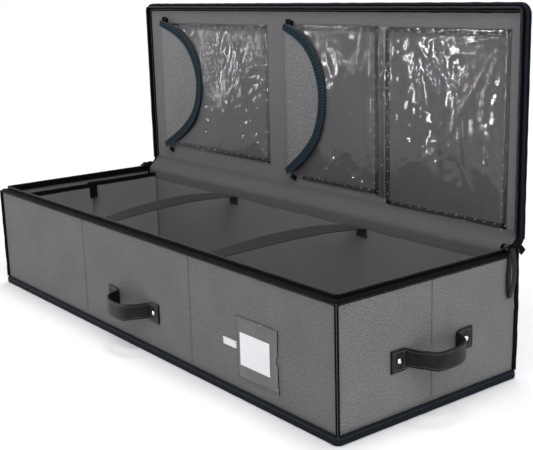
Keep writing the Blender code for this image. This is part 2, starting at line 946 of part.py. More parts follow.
# Binding round three edges of the lid, with a wide flange inside and a narrow one outside
flange_bottom = lining_face + clearance
flange_top = flange_bottom + binding_thickness
lid_outer_face = lid_layers["cover"][0] - clearance
lid_binding_section = [
    (lid_edge_inset - clearance - binding_thickness, lid_outer_face - binding_thickness),
    (lid_edge_inset - clearance - binding_thickness, flange_top),
    (lid_flange_width, flange_top),
    (lid_flange_width, flange_bottom),
    (lid_edge_inset - clearance, flange_bottom),
    (lid_edge_inset - clearance, lid_outer_face),
    (lid_outer_flange_width, lid_outer_face),
    (lid_outer_flange_width, lid_outer_face - binding_thickness),
]
on_lid(sweep("lid_binding", lid_binding_section, lid_outline, False, black_tape))
lid_bead = hinge_z - bead_centre - 2 * bead_radius - bead_gap
lid_zip_near = lid_back_gap + zip_end_margin
on_lid(
    sweep(
        "lid_zipper",
        zip_section(flange_top + clearance, lid_bead),
        lambda inset: open_outline(lid_zip_near, lid_far, zip_corner_radius, inset),
        False,
        zip_tape,
    )
)

# Moving leaf of the fabric hinge, from the hinge line to the back edge of the lid
leaf_end = Vector((lid_back_gap - clearance - hinge_strip_thickness / 2, lid_layers["board"][1]))
moving_outline = hinge_leaf(leaf_end, Vector((0, 0)))
moving_leaf = prism("lid_hinge_strip", moving_outline, -hinge_half_length, hinge_half_length)
on_lid(add_object("lid_hinge_strip", moving_leaf, black_tape))


def flap_line(start, low, height, reach):
    """The curve that a flap's tape follows, from its low end to its high end."""
    return smooth_path([(start + reach * out, low + height * up) for up, out in flap_shares], 3)


def side_of(path, offset):
    """The same curve, moved outward by an offset."""
    outline = ribbon_section(path, 2 * abs(offset))
    return outline[len(path) :][::-1] if offset > 0 else outline[: len(path)]


def pocket_sheet(name, low, high):
    """A clear sheet that stands off the lining on its edges and is open at its left."""
    foot = lining_face + clearance
    face = foot + pocket_depth + pocket_sheet_thickness
    window = on_lid(add_box(name, (*low, foot), (*high, face), clear_sheet))
    edge = 2 * pocket_sheet_thickness
    cut_box(
        window,
        (low[0] - cut_overrun, low[1] + edge, foot - cut_overrun),
        (high[0] - edge, high[1] - edge, foot + pocket_depth),
    )
    return window


def lid_tool(thing):
    """Turns a flat plate into a hidden cutter on the lid."""
    parts.objects.unlink(thing)
    cutters.objects.link(thing)
    thing.hide_render = True
    thing.display_type = "WIRE"
    return on_lid(thing)


def add_flap_pocket(name, low, high, flap_low, flap_high, reach):
    """A clear sheet under a round fabric flap whose edge is bound in tape."""
    start = low[0]
    flap_height = flap_high - flap_low
    under = lining_face + flap_lift
    over = under + flap_thickness
    window = pocket_sheet(name + "_window", low, high)
    mouth = flap_line(start, flap_low + flap_overlap, flap_height - 2 * flap_overlap, reach - flap_overlap)
    mouth = [(start - cut_overrun, mouth[0][1]), *mouth, (start - cut_overrun, mouth[-1][1])]
    cut(window, lid_tool(plate(name + " mouth", [mouth], lining_face - cut_overrun, under, None)))
    line = flap_line(start, flap_low, flap_height, reach)
    edge = side_of(line, flap_tape_width / 2 - flap_tape_proud)
    edge = [point for point in edge if point[0] > start]
    outline = [(start - flap_web, flap_low), *edge, (start - flap_web, flap_high)]
    flap = on_lid(plate(name + "_flap", [outline], under, over, cover_fabric))
    join_box(
        flap,
        (start - flap_web, flap_low + flap_overlap, lining_face + clearance),
        (start - clearance, flap_high - flap_overlap, under + flap_thickness / 2),
    )
    band = ribbon_section(line, flap_tape_width)
    tape_low = over + clearance
    on_lid(plate(name + "_flap_tape", [band], tape_low, tape_low + flap_tape_thickness, blue_black_tape))


left_pocket_start = -half_length + left_pocket_end_margin
middle_pocket_start = left_pocket_start + left_pocket_width + middle_pocket_gap
right_pocket_start = middle_pocket_start + middle_pocket_width + right_pocket_gap
right_pocket_end = half_length - right_pocket_end_margin
add_flap_pocket(
    "left_pocket",
    (left_pocket_start, left_pocket_low),
    (left_pocket_start + left_pocket_width, lid_far - left_pocket_top_margin),
    left_flap_low,
    lid_far - left_flap_top_margin,
    left_flap_reach,
)
add_flap_pocket(
    "middle_pocket",
    (middle_pocket_start, middle_pocket_low),
    (middle_pocket_start + middle_pocket_width, lid_far - middle_pocket_top_margin),
    middle_flap_low,
    lid_far - middle_flap_top_margin,
    middle_flap_reach,
)
pocket_sheet(
    "right_pocket_window",
    (right_pocket_start, right_pocket_low),
    (right_pocket_end, lid_far - right_pocket_top_margin),
)
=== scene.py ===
"""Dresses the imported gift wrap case: a long low case of woven cloth over boards, with an open
lid, clear lid pockets, bound edges, a zipper, hold-down straps and carry handles. Metres, +Z up."""

import math

import bmesh
import bpy
import numpy as np
from mathutils import Matrix, Vector


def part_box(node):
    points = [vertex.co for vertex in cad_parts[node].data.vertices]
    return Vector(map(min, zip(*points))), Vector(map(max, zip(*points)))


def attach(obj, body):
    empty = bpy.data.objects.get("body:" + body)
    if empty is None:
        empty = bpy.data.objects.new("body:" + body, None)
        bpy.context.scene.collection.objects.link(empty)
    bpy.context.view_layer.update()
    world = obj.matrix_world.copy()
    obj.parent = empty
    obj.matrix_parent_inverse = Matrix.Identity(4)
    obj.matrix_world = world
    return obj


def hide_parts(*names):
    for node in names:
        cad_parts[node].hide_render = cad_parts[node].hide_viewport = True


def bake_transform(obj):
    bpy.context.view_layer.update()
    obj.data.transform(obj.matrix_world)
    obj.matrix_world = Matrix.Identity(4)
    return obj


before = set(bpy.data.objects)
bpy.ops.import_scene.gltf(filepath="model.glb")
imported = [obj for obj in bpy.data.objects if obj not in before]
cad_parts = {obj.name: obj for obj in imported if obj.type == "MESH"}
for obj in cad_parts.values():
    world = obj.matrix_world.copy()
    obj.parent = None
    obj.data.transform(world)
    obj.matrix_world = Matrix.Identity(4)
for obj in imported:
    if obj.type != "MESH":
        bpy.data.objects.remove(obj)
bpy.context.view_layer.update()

bl_info = {
    "name": "Gift wrap case",
    "version": (1, 0, 0),
    "blender": (4, 5, 0),
    "location": "3D View > Sidebar > Gift case",
    "description": "Builds the cloth, tape, zipper, clear sheet and leather of a gift wrap case",
    "category": "Add Mesh",
}


def rgb(red, green, blue):
    """A colour as it is seen, from 0 to 255, turned into the linear values that a shader takes."""
    shares = [value / 255 for value in (red, green, blue)]
    return tuple(s / 12.92 if s <= 0.04045 else ((s + 0.055) / 1.055) ** 2.4 for s in shares)


def corner_low(node):
    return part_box(node)[0]


def corner_high(node):
    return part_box(node)[1]


# Planes of the case that the dressing keeps to, read from the frame
HALF_LENGTH = corner_high("front_cover").x
HALF_DEPTH = corner_high("back_cover").y
WALL_TOP = corner_high("front_cover").z
RIM_TOP = WALL_TOP + 0.0015
INNER_X = HALF_LENGTH - 0.005
INNER_Y = HALF_DEPTH - 0.005
FLOOR_TOP = 0.005
BAND_TOP = 0.013
HINGE_Y = HALF_DEPTH + 0.003
HINGE_Z = RIM_TOP + 0.004
BEAD_Z = RIM_TOP + 0.0055
ZIP_INSET = 0.0073
PULL_BAR_X = HALF_LENGTH + 0.005
# The lid in its own plane: its near and its far edge, and its inner face
LID_LOW = 0.0105
LID_FAR = 0.347
LID_FACE = -0.014
FRONT_FOLDS = (-HALF_LENGTH / 3, HALF_LENGTH / 3)
END_FOLDS = (0.0,)
ENDS = (("left", -1), ("right", 1))
UP, RIGHT, FRONT, BACK = (0, 0, 1), (1, 0, 0), (0, -1, 0), (0, 1, 0)


# Settings

def colour(name, description, value):
    return bpy.props.FloatVectorProperty(
        name=name, description=description, default=value, size=3, min=0, max=1, subtype="COLOR"
    )


def length(name, description, value):
    return bpy.props.FloatProperty(
        name=name, description=description, default=value, min=0, unit="LENGTH", precision=5
    )


class GiftCaseCloth(bpy.types.PropertyGroup):
    """Cloth of the case and of the lid."""

    cover: colour("Cover", "Colour of the outer cloth", rgb(102, 102, 103))
    # Kept a touch lighter than the cover for the light on the ends: painted light.
    end: colour("Ends", "Colour of the outer cloth of both ends", rgb(105, 105, 105))
    lining: colour("Lining", "Colour of the smooth inner cloth", rgb(116, 116, 117))
    flap: colour("Flaps", "Colour of the coarse cloth of the pocket flaps", rgb(121, 121, 122))
    puff: length("Puff", "How far the cloth stands off the boards between folds", 0.0007)
    fold: length("Fold depth", "Depth of the pressed fold lines", 0.0030)
    thread: length("Thread pitch", "Distance from one thread of the weave to the next", 0.0011)


class GiftCaseTrim(bpy.types.PropertyGroup):
    """Tapes, bindings, zipper and straps."""

    tape: colour("Tape", "Colour of the black binding tape", rgb(11, 12, 14))
    base: colour("Base band", "Colour of the band round the floor", rgb(26, 30, 38))
    arc: colour("Flap tape", "Colour of the ribbed tape on the flaps", rgb(33, 50, 60))
    web: colour("Straps", "Colour of the hold-down straps", rgb(44, 40, 43))
    tooth: colour("Teeth", "Colour of the zipper coil", rgb(18, 20, 24))
    rib: length("Rib pitch", "Distance from one rib of the tape to the next", 0.0022)
    tooth_pitch: length("Tooth pitch", "Distance from one coil of the zipper to the next", 0.0017)
    stitch: length("Stitch pitch", "Distance from one stitch to the next", 0.0042)


class GiftCaseHardware(bpy.types.PropertyGroup):
    """Handles, rivets, sliders, clear sheets and the label."""

    leather: colour("Leather", "Colour of the handles and pulls", rgb(12, 12, 13))
    rivet: colour("Rivets", "Colour of the rivets", rgb(226, 226, 228))
    slider: colour("Sliders", "Colour of the zipper sliders", rgb(58, 60, 64))
    card: colour("Card", "Colour of the label card", rgb(247, 247, 247))
    wrinkle: length("Wrinkle height", "Height of the wrinkles in the clear sheets", 0.0011)


class GiftCaseStage(bpy.types.PropertyGroup):
    """Floor, lamps and camera."""

    floor: colour("Floor", "Colour of the floor", rgb(246, 246, 248))
    lens: bpy.props.FloatProperty(
        name="Lens", description="Focal length of the camera", default=68.4, unit="CAMERA"
    )
    world: bpy.props.FloatProperty(
        name="Sky", description="Strength of the even light from all round", default=0.50
    )


# Numbers and paths

def at(*parts):
    """Points from their coordinates, each of them a number or an array."""
    return np.stack(np.broadcast_arrays(*parts), -1)


def on_lid(u, v, height):
    """A point on the upright lid, from its place in the lid's plane and its height off it."""
    return at(u, HINGE_Y - height, HINGE_Z + v)


def unit(vectors):
    return vectors / np.linalg.norm(vectors, axis=-1, keepdims=True)


def ease(value, low, high):
    """Rises smoothly from 0 at the low value to 1 at the high one."""
    share = np.clip((value - low) / (high - low), 0, 1)
    return share * share * (3 - 2 * share)


def within(share, soft):
    """One along a run from 0 to 1, fading to nothing at both ends."""
    return ease(share, 0, soft) * ease(1 - share, 0, soft)


def arch(share):
    return np.clip(np.sin(math.pi * share), 0, 1)


def hump(value, middle, width):
    return np.exp(-(((value - middle) / width) ** 2))


def squared(wave, power):
    """A sine or cosine that a lower power makes squarer."""
    return np.sign(wave) * np.abs(wave) ** power


def steps(start, end, coarse, marks=(), fine=0.0006, reach=0.0030):
    """Places from start to end, closer together near each mark."""
    places = list(np.linspace(start, end, max(2, round(abs(end - start) / coarse) + 1)))
    for mark in marks:
        places += list(np.arange(mark - reach, mark + reach + fine / 2, fine))
    kept = []
    for place in sorted(places):
        if start <= place <= end and (not kept or place - kept[-1] > fine / 3):
            kept.append(place)
    kept[-1] = end
    return np.array(kept)


def ripple(u, v, size, seed):
    """Smooth unevenness, mostly from -1 to 1, with humps about one size across."""
    draw = np.random.default_rng(seed)
    total = np.zeros(np.broadcast(u, v).shape)
    for _ in range(7):
        angle, phase = draw.uniform(0, 2 * math.pi, 2)
        wave = 2 * math.pi / (size * draw.uniform(0.6, 1.5))
        total += np.sin((u * math.cos(angle) + v * math.sin(angle)) * wave + phase)
    return total / 4


def edge_gap(u, v, box):
    """How far a place is inside a flat box."""
    u0, u1, v0, v1 = box
    return np.minimum(np.minimum(u - u0, u1 - u), np.minimum(v - v0, v1 - v))


def run_along(path):
    """How far along a path each of its points is."""
    return np.append(0, np.cumsum(np.linalg.norm(np.diff(path, axis=0), axis=1)))


def follow(line, run, places):
    """The points at some places along a line."""
    return np.stack([np.interp(places, run, part) for part in np.transpose(line)], -1)


def resample(line, gap):
    """Points at even gaps along a line."""
    run = run_along(line)
    return follow(line, run, np.linspace(0, run[-1], max(2, int(run[-1] / gap))))


def through(points, count):
    """So many points, shared evenly over the legs between the given ones."""
    return follow(points, range(len(points)), np.linspace(0, len(points) - 1, count))


def eased_path(points, count):
    """A smooth path through points, with the same number of steps between each two."""
    points = np.asarray(points, float)
    padded = np.concatenate([points[:1], points, points[-1:]])
    t = np.arange(count)[:, None] / count
    legs = []
    for a, b, c, d in zip(padded, padded[1:], padded[2:], padded[3:]):
        bend = (2 * a - 5 * b + 4 * c - d) * t**2 + (3 * b - a - 3 * c + d) * t**3
        legs.append((2 * b + (c - a) * t + bend) / 2)
    return np.concatenate([*legs, points[-1:]])


def tangents(path, closed=False):
    if closed:
        return unit(np.roll(path, -1, 0) - np.roll(path, 1, 0))
    return unit(np.gradient(path, axis=0))


def frames_along(path, facing, closed=False):
    """The side and outward directions at each point of a path."""
    tangent = tangents(path, closed)
    side = unit(np.cross(tangent, np.broadcast_to(facing, path.shape)))
    return side, np.cross(side, tangent)


def outward(path, closed):
    """The direction in the plane that points away from the middle of a flat path."""
    along = tangents(path, closed)
    normal = at(along[:, 1], -along[:, 0])
    return normal * (1 if ((path - path.mean(0)) * normal).sum() > 0 else -1)


def cloth_relief(u, v, span, rise, folds, seed, puff, fold, flat_boxes=()):
    """How far cloth stands off its board: puffed between folds, pressed in along them."""
    up = np.clip((v - rise[0]) / (rise[1] - rise[0]), 0, 1)
    along = np.clip((u - span[0]) / (span[1] - span[0]), 0, 1)
    edges = [span[0], *folds, span[1]]
    crown = np.zeros_like(u)
    for low, high in zip(edges, edges[1:]):
        crown += arch(np.clip((u - low) / (high - low), 0, 1)) ** 0.5
    crown *= arch(up) ** 0.45
    fine = 0.30 * ripple(u, v, 0.055, seed + 1) + 0.10 * ripple(u, v, 0.017, seed + 2)
    relief = puff * crown * (0.8 + 0.45 * ripple(u, v, 0.16, seed))
    relief += within(up, 0.12) * within(along, 0.02) * puff * fine
    pucker = np.exp(-(rise[1] - v) / 0.010) + np.exp(-(v - rise[0]) / 0.010)
    relief += puff * 0.22 * pucker * ripple(u, 0, 0.013, seed + 3)
    for box in flat_boxes:
        relief *= ease(-edge_gap(u, v, box), 0, 0.012)
    for place in folds:
        relief -= fold * hump(u, place, 0.0013) * within(up, 0.03)
    return relief


# Meshes

def put(name, data):
    """A new object in the scene."""
    thing = bpy.data.objects.new(name, data)
    bpy.context.scene.collection.objects.link(thing)
    return thing


def make_object(name, points, faces, uvs, material, crease=42):
    """An object from points, faces and one flat place in metres for each corner of each face."""
    mesh = bpy.data.meshes.new(name)
    mesh.from_pydata(np.reshape(points, (-1, 3)).tolist(), [], faces)
    layer = mesh.uv_layers.new(name="flat")
    layer.data.foreach_set("uv", np.asarray(uvs, np.float32).ravel())
    shape = bmesh.new()
    shape.from_mesh(mesh)
    bmesh.ops.recalc_face_normals(shape, faces=shape.faces)
    shape.to_mesh(mesh)
    shape.free()
    mesh.polygons.foreach_set("use_smooth", [True] * len(mesh.polygons))
    mesh.set_sharp_from_angle(angle=math.radians(crease))
    mesh.materials.append(finish(material))
    return put(name, mesh)


def slab(name, us, vs, place, front, back, material, crease=42):
    """A thin closed sheet over a grid of flat places, from its front height to its back one.

    A height is a number or a function of the flat place. The place function turns a flat place
    and a height into a point."""
    across, up = np.meshgrid(us, vs, indexing="ij")
    points = []
    for height in (front, back):
        height = height(across, up) if callable(height) else height
        points.append(place(across, up, height).reshape(-1, 3))
    flat = np.tile(at(across.ravel(), up.ravel()), (2, 1))
    count = across.size
    index = np.arange(count).reshape(across.shape)
    quads = at(index[:-1, :-1], index[1:, :-1], index[1:, 1:], index[:-1, 1:]).reshape(-1, 4)
    edge = np.concatenate([index[:-1, 0], index[-1, :-1], index[:0:-1, -1], index[0, :0:-1]])
    after = np.roll(edge, -1)
    rim = at(edge, edge + count, after + count, after)
    faces = np.concatenate([quads, quads[:, ::-1] + count, rim])
    return make_object(
        name, np.concatenate(points), faces.tolist(), flat[faces.ravel()], material, crease
    )


def ring_solid(name, rings, material, closed=False, crease=42, run=None):
    """A closed solid through rings of points, with a flat place along and around it."""
    rows, count = rings.shape[:2]
    middle = rings.mean(1)
    run = run_along(middle) if run is None else run
    run = np.append(run, run[-1] + np.linalg.norm(middle[-1] - middle[0]))
    widest = rings[rows // 2]
    girth = run_along(np.append(widest, widest[:1], 0))
    index = np.arange(rows * count).reshape(rows, count)
    last = rows if closed else rows - 1
    row, spot = np.meshgrid(np.arange(last), np.arange(count), indexing="ij")
    ways = ((0, 0), (0, 1), (1, 1), (1, 0))
    faces = at(*(index[(row + on) % rows, (spot + by) % count] for on, by in ways))
    flat = np.stack([at(run[row + on], girth[spot + by]) for on, by in ways], 2).reshape(-1, 2)
    faces = faces.reshape(-1, 4).tolist()
    if not closed:
        for end in (0, rows - 1):
            faces.append(index[end].tolist())
            flat = np.append(flat, at(run[end], girth[:-1]), 0)
    return make_object(name, rings, faces, flat, material, crease)


def oval(width, thickness, flatness=0.3, count=18):
    """The section of a strip with rounded edges, or one section for each of several sizes.

    A lower flatness makes it squarer."""
    angle = 2 * math.pi * (np.arange(count) + 0.5) / count
    across = squared(np.cos(angle), flatness) * np.asarray(width)[..., None] / 2
    return at(across, squared(np.sin(angle), 0.55) * np.asarray(thickness)[..., None] / 2)


def carry(name, path, facing, section, material, closed=False, crease=42):
    """Carries a section of (across, out) places along a path."""
    side, out = frames_along(path, facing, closed)
    section = np.broadcast_to(section, (len(path), *np.shape(section)[-2:]))
    rings = path[:, None] + side[:, None] * section[..., :1] + out[:, None] * section[..., 1:]
    return ring_solid(name, rings, material, closed, crease)


def merged(name, things):
    """Several solids of one material as one piece."""
    material = things[0].data.materials[0]
    shape = bmesh.new()
    for thing in things:
        shape.from_mesh(thing.data)
        bpy.data.objects.remove(thing)
    mesh = bpy.data.meshes.new(name)
    shape.to_mesh(mesh)
    shape.free()
    mesh.materials.append(material)
    return put(name, mesh)


def settle(thing, body, slot, *nodes, flat=None, area=None):
    """Says what body a piece moves with and hides the nodes that it stands for. The finish slot
    and, for a sheet, the size that it was cut to are not used."""
    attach(thing, body)
    if nodes:
        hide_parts(*nodes)


def reshape_flat(thing, change):
    """Moves the flat places of a piece along, so that its weave keeps its scale."""
    layer = thing.data.uv_layers["flat"].data
    flat = np.zeros(len(layer) * 2, np.float32)
    layer.foreach_get("uv", flat)
    flat = flat.reshape(-1, 2)
    flat[:, 0] = change(flat[:, 0], flat[:, 1])
    layer.foreach_set("uv", flat.ravel())


class Rail:
    """The flat outline that a binding follows: round the base, or over the rim or the lid from
    one back corner to the other."""

    def __init__(self, kind, radius, near=0.0, spacing=0.007):
        self.kind, self.radius, self.near, self.spacing = kind, radius, near, spacing
        self.closed = kind == "base"
        self.place = on_lid if kind == "lid" else at

    def corners(self, gap):
        x, y, near = HALF_LENGTH - gap, HALF_DEPTH - gap, self.near
        if self.closed:
            return np.array([(x, y), (-x, y), (-x, -y), (x, -y)])
        far = LID_FAR - gap if self.kind == "lid" else -y
        return np.array([(-x, near), (-x, far), (x, far), (x, near)])

    def flat(self, inset):
        """The rounded outline at an inset. It has the same number of points at each."""
        corners, nominal = self.corners(inset), self.corners(0)
        radius = max(self.radius - inset, 0.0003)
        turn = np.linspace(0, math.pi / 2, 9)[:, None]
        arcs = {}
        for corner in range(4) if self.closed else (1, 2):
            here = corners[corner]
            back, on = unit(corners[[corner - 1, (corner + 1) % 4]] - here)
            centre = here + (back + on) * radius
            arcs[corner] = centre - on * radius * np.cos(turn) - back * radius * np.sin(turn)
        pieces = []
        for corner in range(4 if self.closed else 3):
            beyond = (corner + 1) % 4
            start = arcs[corner][-1] if corner in arcs else corners[corner]
            end = arcs[beyond][0] if beyond in arcs else corners[beyond]
            total = round(np.linalg.norm(nominal[beyond] - nominal[corner]) / self.spacing)
            leg = start + (end - start) * np.linspace(0, 1, max(2, total) + 1)[:, None]
            pieces += [leg[:-1], arcs[beyond][:-1]] if beyond in arcs else [leg]
        return np.concatenate(pieces)

    def line(self, inset, height):
        """The outline at an inset and a height, as a row of points that ends where it began."""
        flat = self.flat(inset)
        if self.closed:
            flat = np.append(flat, flat[:1], 0)
        return self.place(*flat.T, height)


def sweep(name, section, rail, material, wave, seed, crease=50, swell=None):
    """Carries a section of (inset, height) places along a rail, with a slight unevenness."""
    height = np.array([level for _, level in section])
    flats = np.stack([rail.flat(inset) for inset, _ in section], 1)
    run = run_along(flats[:, 0])
    push = wave * ripple(run[:, None], height * 3, 0.035, seed)
    push = push + wave * 0.4 * ripple(run[:, None], height * 3, 0.012, seed + 1)
    if swell:
        push = push + swell(run[:, None], height)
    flats = flats + outward(flats[:, 0], rail.closed)[:, None] * push[..., None]
    rings = rail.place(flats[..., 0], flats[..., 1], height)
    return ring_solid(name, rings, material, rail.closed, crease, run)


# Materials

class Nodes:
    """A node tree that is being filled."""

    def __init__(self, tree):
        self.tree = tree

    def feed(self, socket, value):
        """Sets a socket, or links it to another socket or to each in a list."""
        for one in value if isinstance(value, list) else [value]:
            if isinstance(one, bpy.types.NodeSocket):
                self.tree.links.new(one, socket)
            else:
                socket.default_value = one

    def add(self, kind, inputs=(), **settings):
        """Adds a node, sets it up and feeds its inputs. Returns its outputs."""
        new = self.tree.nodes.new(kind)
        for key, value in settings.items():
            setattr(new, key, value)
        for key, value in dict(inputs).items():
            self.feed(new.inputs[key], value)
        return new.outputs

    def calc(self, operation, first, second=0.0, third=0.0):
        inputs = {0: first, 1: second, 2: third}
        return self.add("ShaderNodeMath", inputs, operation=operation)[0]

    def blend(self, first, share, second, other_share):
        """The sum of two values, each times its share."""
        return self.calc("MULTIPLY_ADD", first, share, self.calc("MULTIPLY", second, other_share))

    def vector(self, x, y, z):
        return self.add("ShaderNodeCombineXYZ", {0: x, 1: y, 2: z})[0]

    def seen_ray(self):
        """One for a ray that shows the background: straight, in a gloss or through glass."""
        path = self.add("ShaderNodeLightPath")
        straight = self.calc("MAXIMUM", path["Is Camera Ray"], path["Is Transmission Ray"])
        return self.calc("MAXIMUM", straight, path["Is Glossy Ray"])


def tinted(colour_value, share):
    return [min(1.0, part * share) for part in colour_value]


class Look(Nodes):
    """A new material, its shader's inputs and the places that its pattern reads."""

    def __init__(self, name, reads="Object", **values):
        self.material = bpy.data.materials.new(name)
        self.material.use_nodes = True
        super().__init__(self.material.node_tree)
        self.shader = self.tree.nodes["Principled BSDF"].inputs
        for key, value in values.items():
            self.shader[key.replace("_", " ")].default_value = value
        self.place = self.add("ShaderNodeTexCoord")[reads]

    def shade(self, colour_value, low, high, factor):
        """Colours the surface between two shares of its colour, by a factor from 0 to 1."""
        ends = [(*tinted(colour_value, share), 1) for share in (low, high)]
        inputs = {0: factor, 6: ends[0], 7: ends[1]}
        self.feed(self.shader["Base Color"], self.add("ShaderNodeMix", inputs, data_type="RGBA")[2])

    def bump(self, height, distance, strength=1.0):
        inputs = {"Strength": strength, "Distance": distance, "Height": height}
        return self.add("ShaderNodeBump", inputs)[0]

    def raise_surface(self, height, distance, strength=1.0):
        self.feed(self.shader["Normal"], self.bump(height, distance, strength))

    def threads(self, direction, pitch, wander):
        """Parallel threads, one pitch apart, that wander a little."""
        inputs = {"Vector": self.place, "Scale": math.pi / 10 / pitch, "Distortion": wander}
        inputs |= {"Detail": 1.0, "Detail Scale": 0.35}
        settings = {"wave_type": "BANDS", "bands_direction": direction}
        return self.add("ShaderNodeTexWave", inputs, **settings)["Fac"]

    def grain(self, size, detail=2.0, roughness=0.55):
        inputs = {"Vector": self.place, "Scale": 1 / size, "Detail": detail, "Roughness": roughness}
        return self.add("ShaderNodeTexNoise", inputs)["Fac"]


def woven(name, colour_value, pitch, spread, depth, slub=0.5, gain=1.0):
    """Plain woven cloth: crossing threads, thicker slubs and slow changes of shade."""
    sheen = {"Sheen_Weight": 0.06, "Sheen_Roughness": 0.6}
    look = Look(name, "UV", Roughness=0.92, Specular_IOR_Level=0.15, **sheen)
    crossing = look.calc(
        "MULTIPLY", look.threads("X", pitch, 1.1), look.threads("Y", pitch, 1.1)
    )
    weave = look.blend(crossing, 1.0 - slub, look.grain(pitch * 1.7, 3.0, 0.7), slub)
    factor = look.calc("MULTIPLY_ADD", weave, 0.72 * gain, 0.3 - 0.28 * gain)
    factor = look.calc("MULTIPLY_ADD", look.grain(0.09), 0.4, factor)
    look.shade(colour_value, 1 - spread, 1 + spread, factor)
    look.raise_surface(weave, depth)
    return look.material


def ribbed(name, colour_value, pitch, spread, depth):
    """Tape woven with ribs across its length, whose places run along the tape."""
    look = Look(name, "UV", Roughness=0.7, Specular_IOR_Level=0.05)
    ribs, fine = look.threads("X", pitch, 0.5), look.threads("Y", pitch * 0.42, 0.8)
    factor = look.blend(look.blend(ribs, 0.8, fine, 0.2), 0.85, look.grain(pitch * 0.9), 0.15)
    look.shade(colour_value, 1 - spread, 1 + spread, factor)
    look.raise_surface(factor, depth)
    return look.material


def leather(name, colour_value):
    """Faux leather with a pebbled grain and lighter patches that are painted sheen, smoother in
    places.
    """
    look = Look(name, Specular_IOR_Level=0.16)
    inputs = {"Vector": look.place, "Scale": 620.0, "Randomness": 0.9}
    pebbles = look.add("ShaderNodeTexVoronoi", inputs, feature="SMOOTH_F1")["Distance"]
    fine, slow = look.grain(0.0011, 3.0), look.grain(0.02)
    # The slow lighter patches stand in for the satin highlight: painted sheen in the colour.
    painted_sheen = look.calc("MULTIPLY", look.calc("POWER", slow, 2.5), look.calc("POWER", fine, 1.5))
    look.shade(colour_value, 0.6, 5.0, look.calc("MULTIPLY", painted_sheen, 5.0))
    look.feed(look.shader["Roughness"], look.calc("MULTIPLY_ADD", slow, 0.22, 0.30))
    look.raise_surface(look.blend(pebbles, -0.7, fine, 0.5), 0.00035, 0.9)
    return look.material


def metal(name, colour_value, roughness, scratch):
    """Polished metal with faint scratches and handling marks."""
    look = Look(name, Metallic=1.0)
    marks = look.grain(0.0018, 4.0, 0.7)
    look.shade(colour_value, 0.85, 1.15, look.grain(0.006))
    rough = look.calc("MULTIPLY_ADD", marks, scratch, roughness - scratch / 2)
    look.feed(look.shader["Roughness"], rough)
    look.raise_surface(marks, 0.00004)
    return look.material


def thread(name, colour_value):
    """Twisted sewing thread."""
    look = Look(name, Roughness=0.55, Sheen_Weight=0.3)
    twist = look.grain(0.0006)
    look.shade(colour_value, 0.75, 1.25, twist)
    look.raise_surface(twist, 0.00008)
    return look.material


def fibrous(name, colour_value, size, spread, roughness):
    """Pressed fibre, as in card and stiffener board."""
    look = Look(name, Roughness=roughness)
    fibres = look.grain(size, 5.0, 0.7)
    factor = look.blend(fibres, 0.6, look.grain(size * 30), 0.4)
    look.shade(colour_value, 1 - spread, 1 + spread, factor)
    look.raise_surface(fibres, 0.00005)
    return look.material


def clear_vinyl(name, haze, tint_and_shade, crumple):
    """Thin clear vinyl: seen through, a little smoky, with bright glints in its wrinkles; its grey
    tint is partly painted shade on what lies behind.
    """
    look = Look(name, "UV")
    look.tree.nodes.remove(look.tree.nodes["Principled BSDF"])
    smear = look.grain(0.05, 3.0)
    bump = look.bump(look.grain(0.012, 2.0, 0.4), 0.0006, crumple)
    colour_through = (tint_and_shade, tint_and_shade, tint_and_shade + 0.005, 1)
    through = look.add("ShaderNodeBsdfTransparent", {"Color": colour_through})[0]
    rough = look.calc("MULTIPLY_ADD", smear, 0.06, 0.03)
    inputs = {"Color": (1, 1, 1, 1), "Roughness": rough, "Normal": bump}
    gloss = look.add("ShaderNodeBsdfGlossy", inputs)[0]
    slant = look.add("ShaderNodeLayerWeight", {"Blend": 0.5, "Normal": bump})["Facing"]
    film = look.calc("MULTIPLY_ADD", look.calc("POWER", slant, 5.0), 0.40, 0.012)
    factor = look.calc("MULTIPLY_ADD", smear, haze, film)
    mixed = look.add("ShaderNodeMixShader", {0: factor, 1: through, 2: gloss})[0]
    look.feed(look.tree.nodes["Material Output"].inputs["Surface"], mixed)
    return look.material


# Pitch of the ribs on the flaps' tape, as a multiple of the other tapes'
ARC_RIB = 2.5
finishes = {}


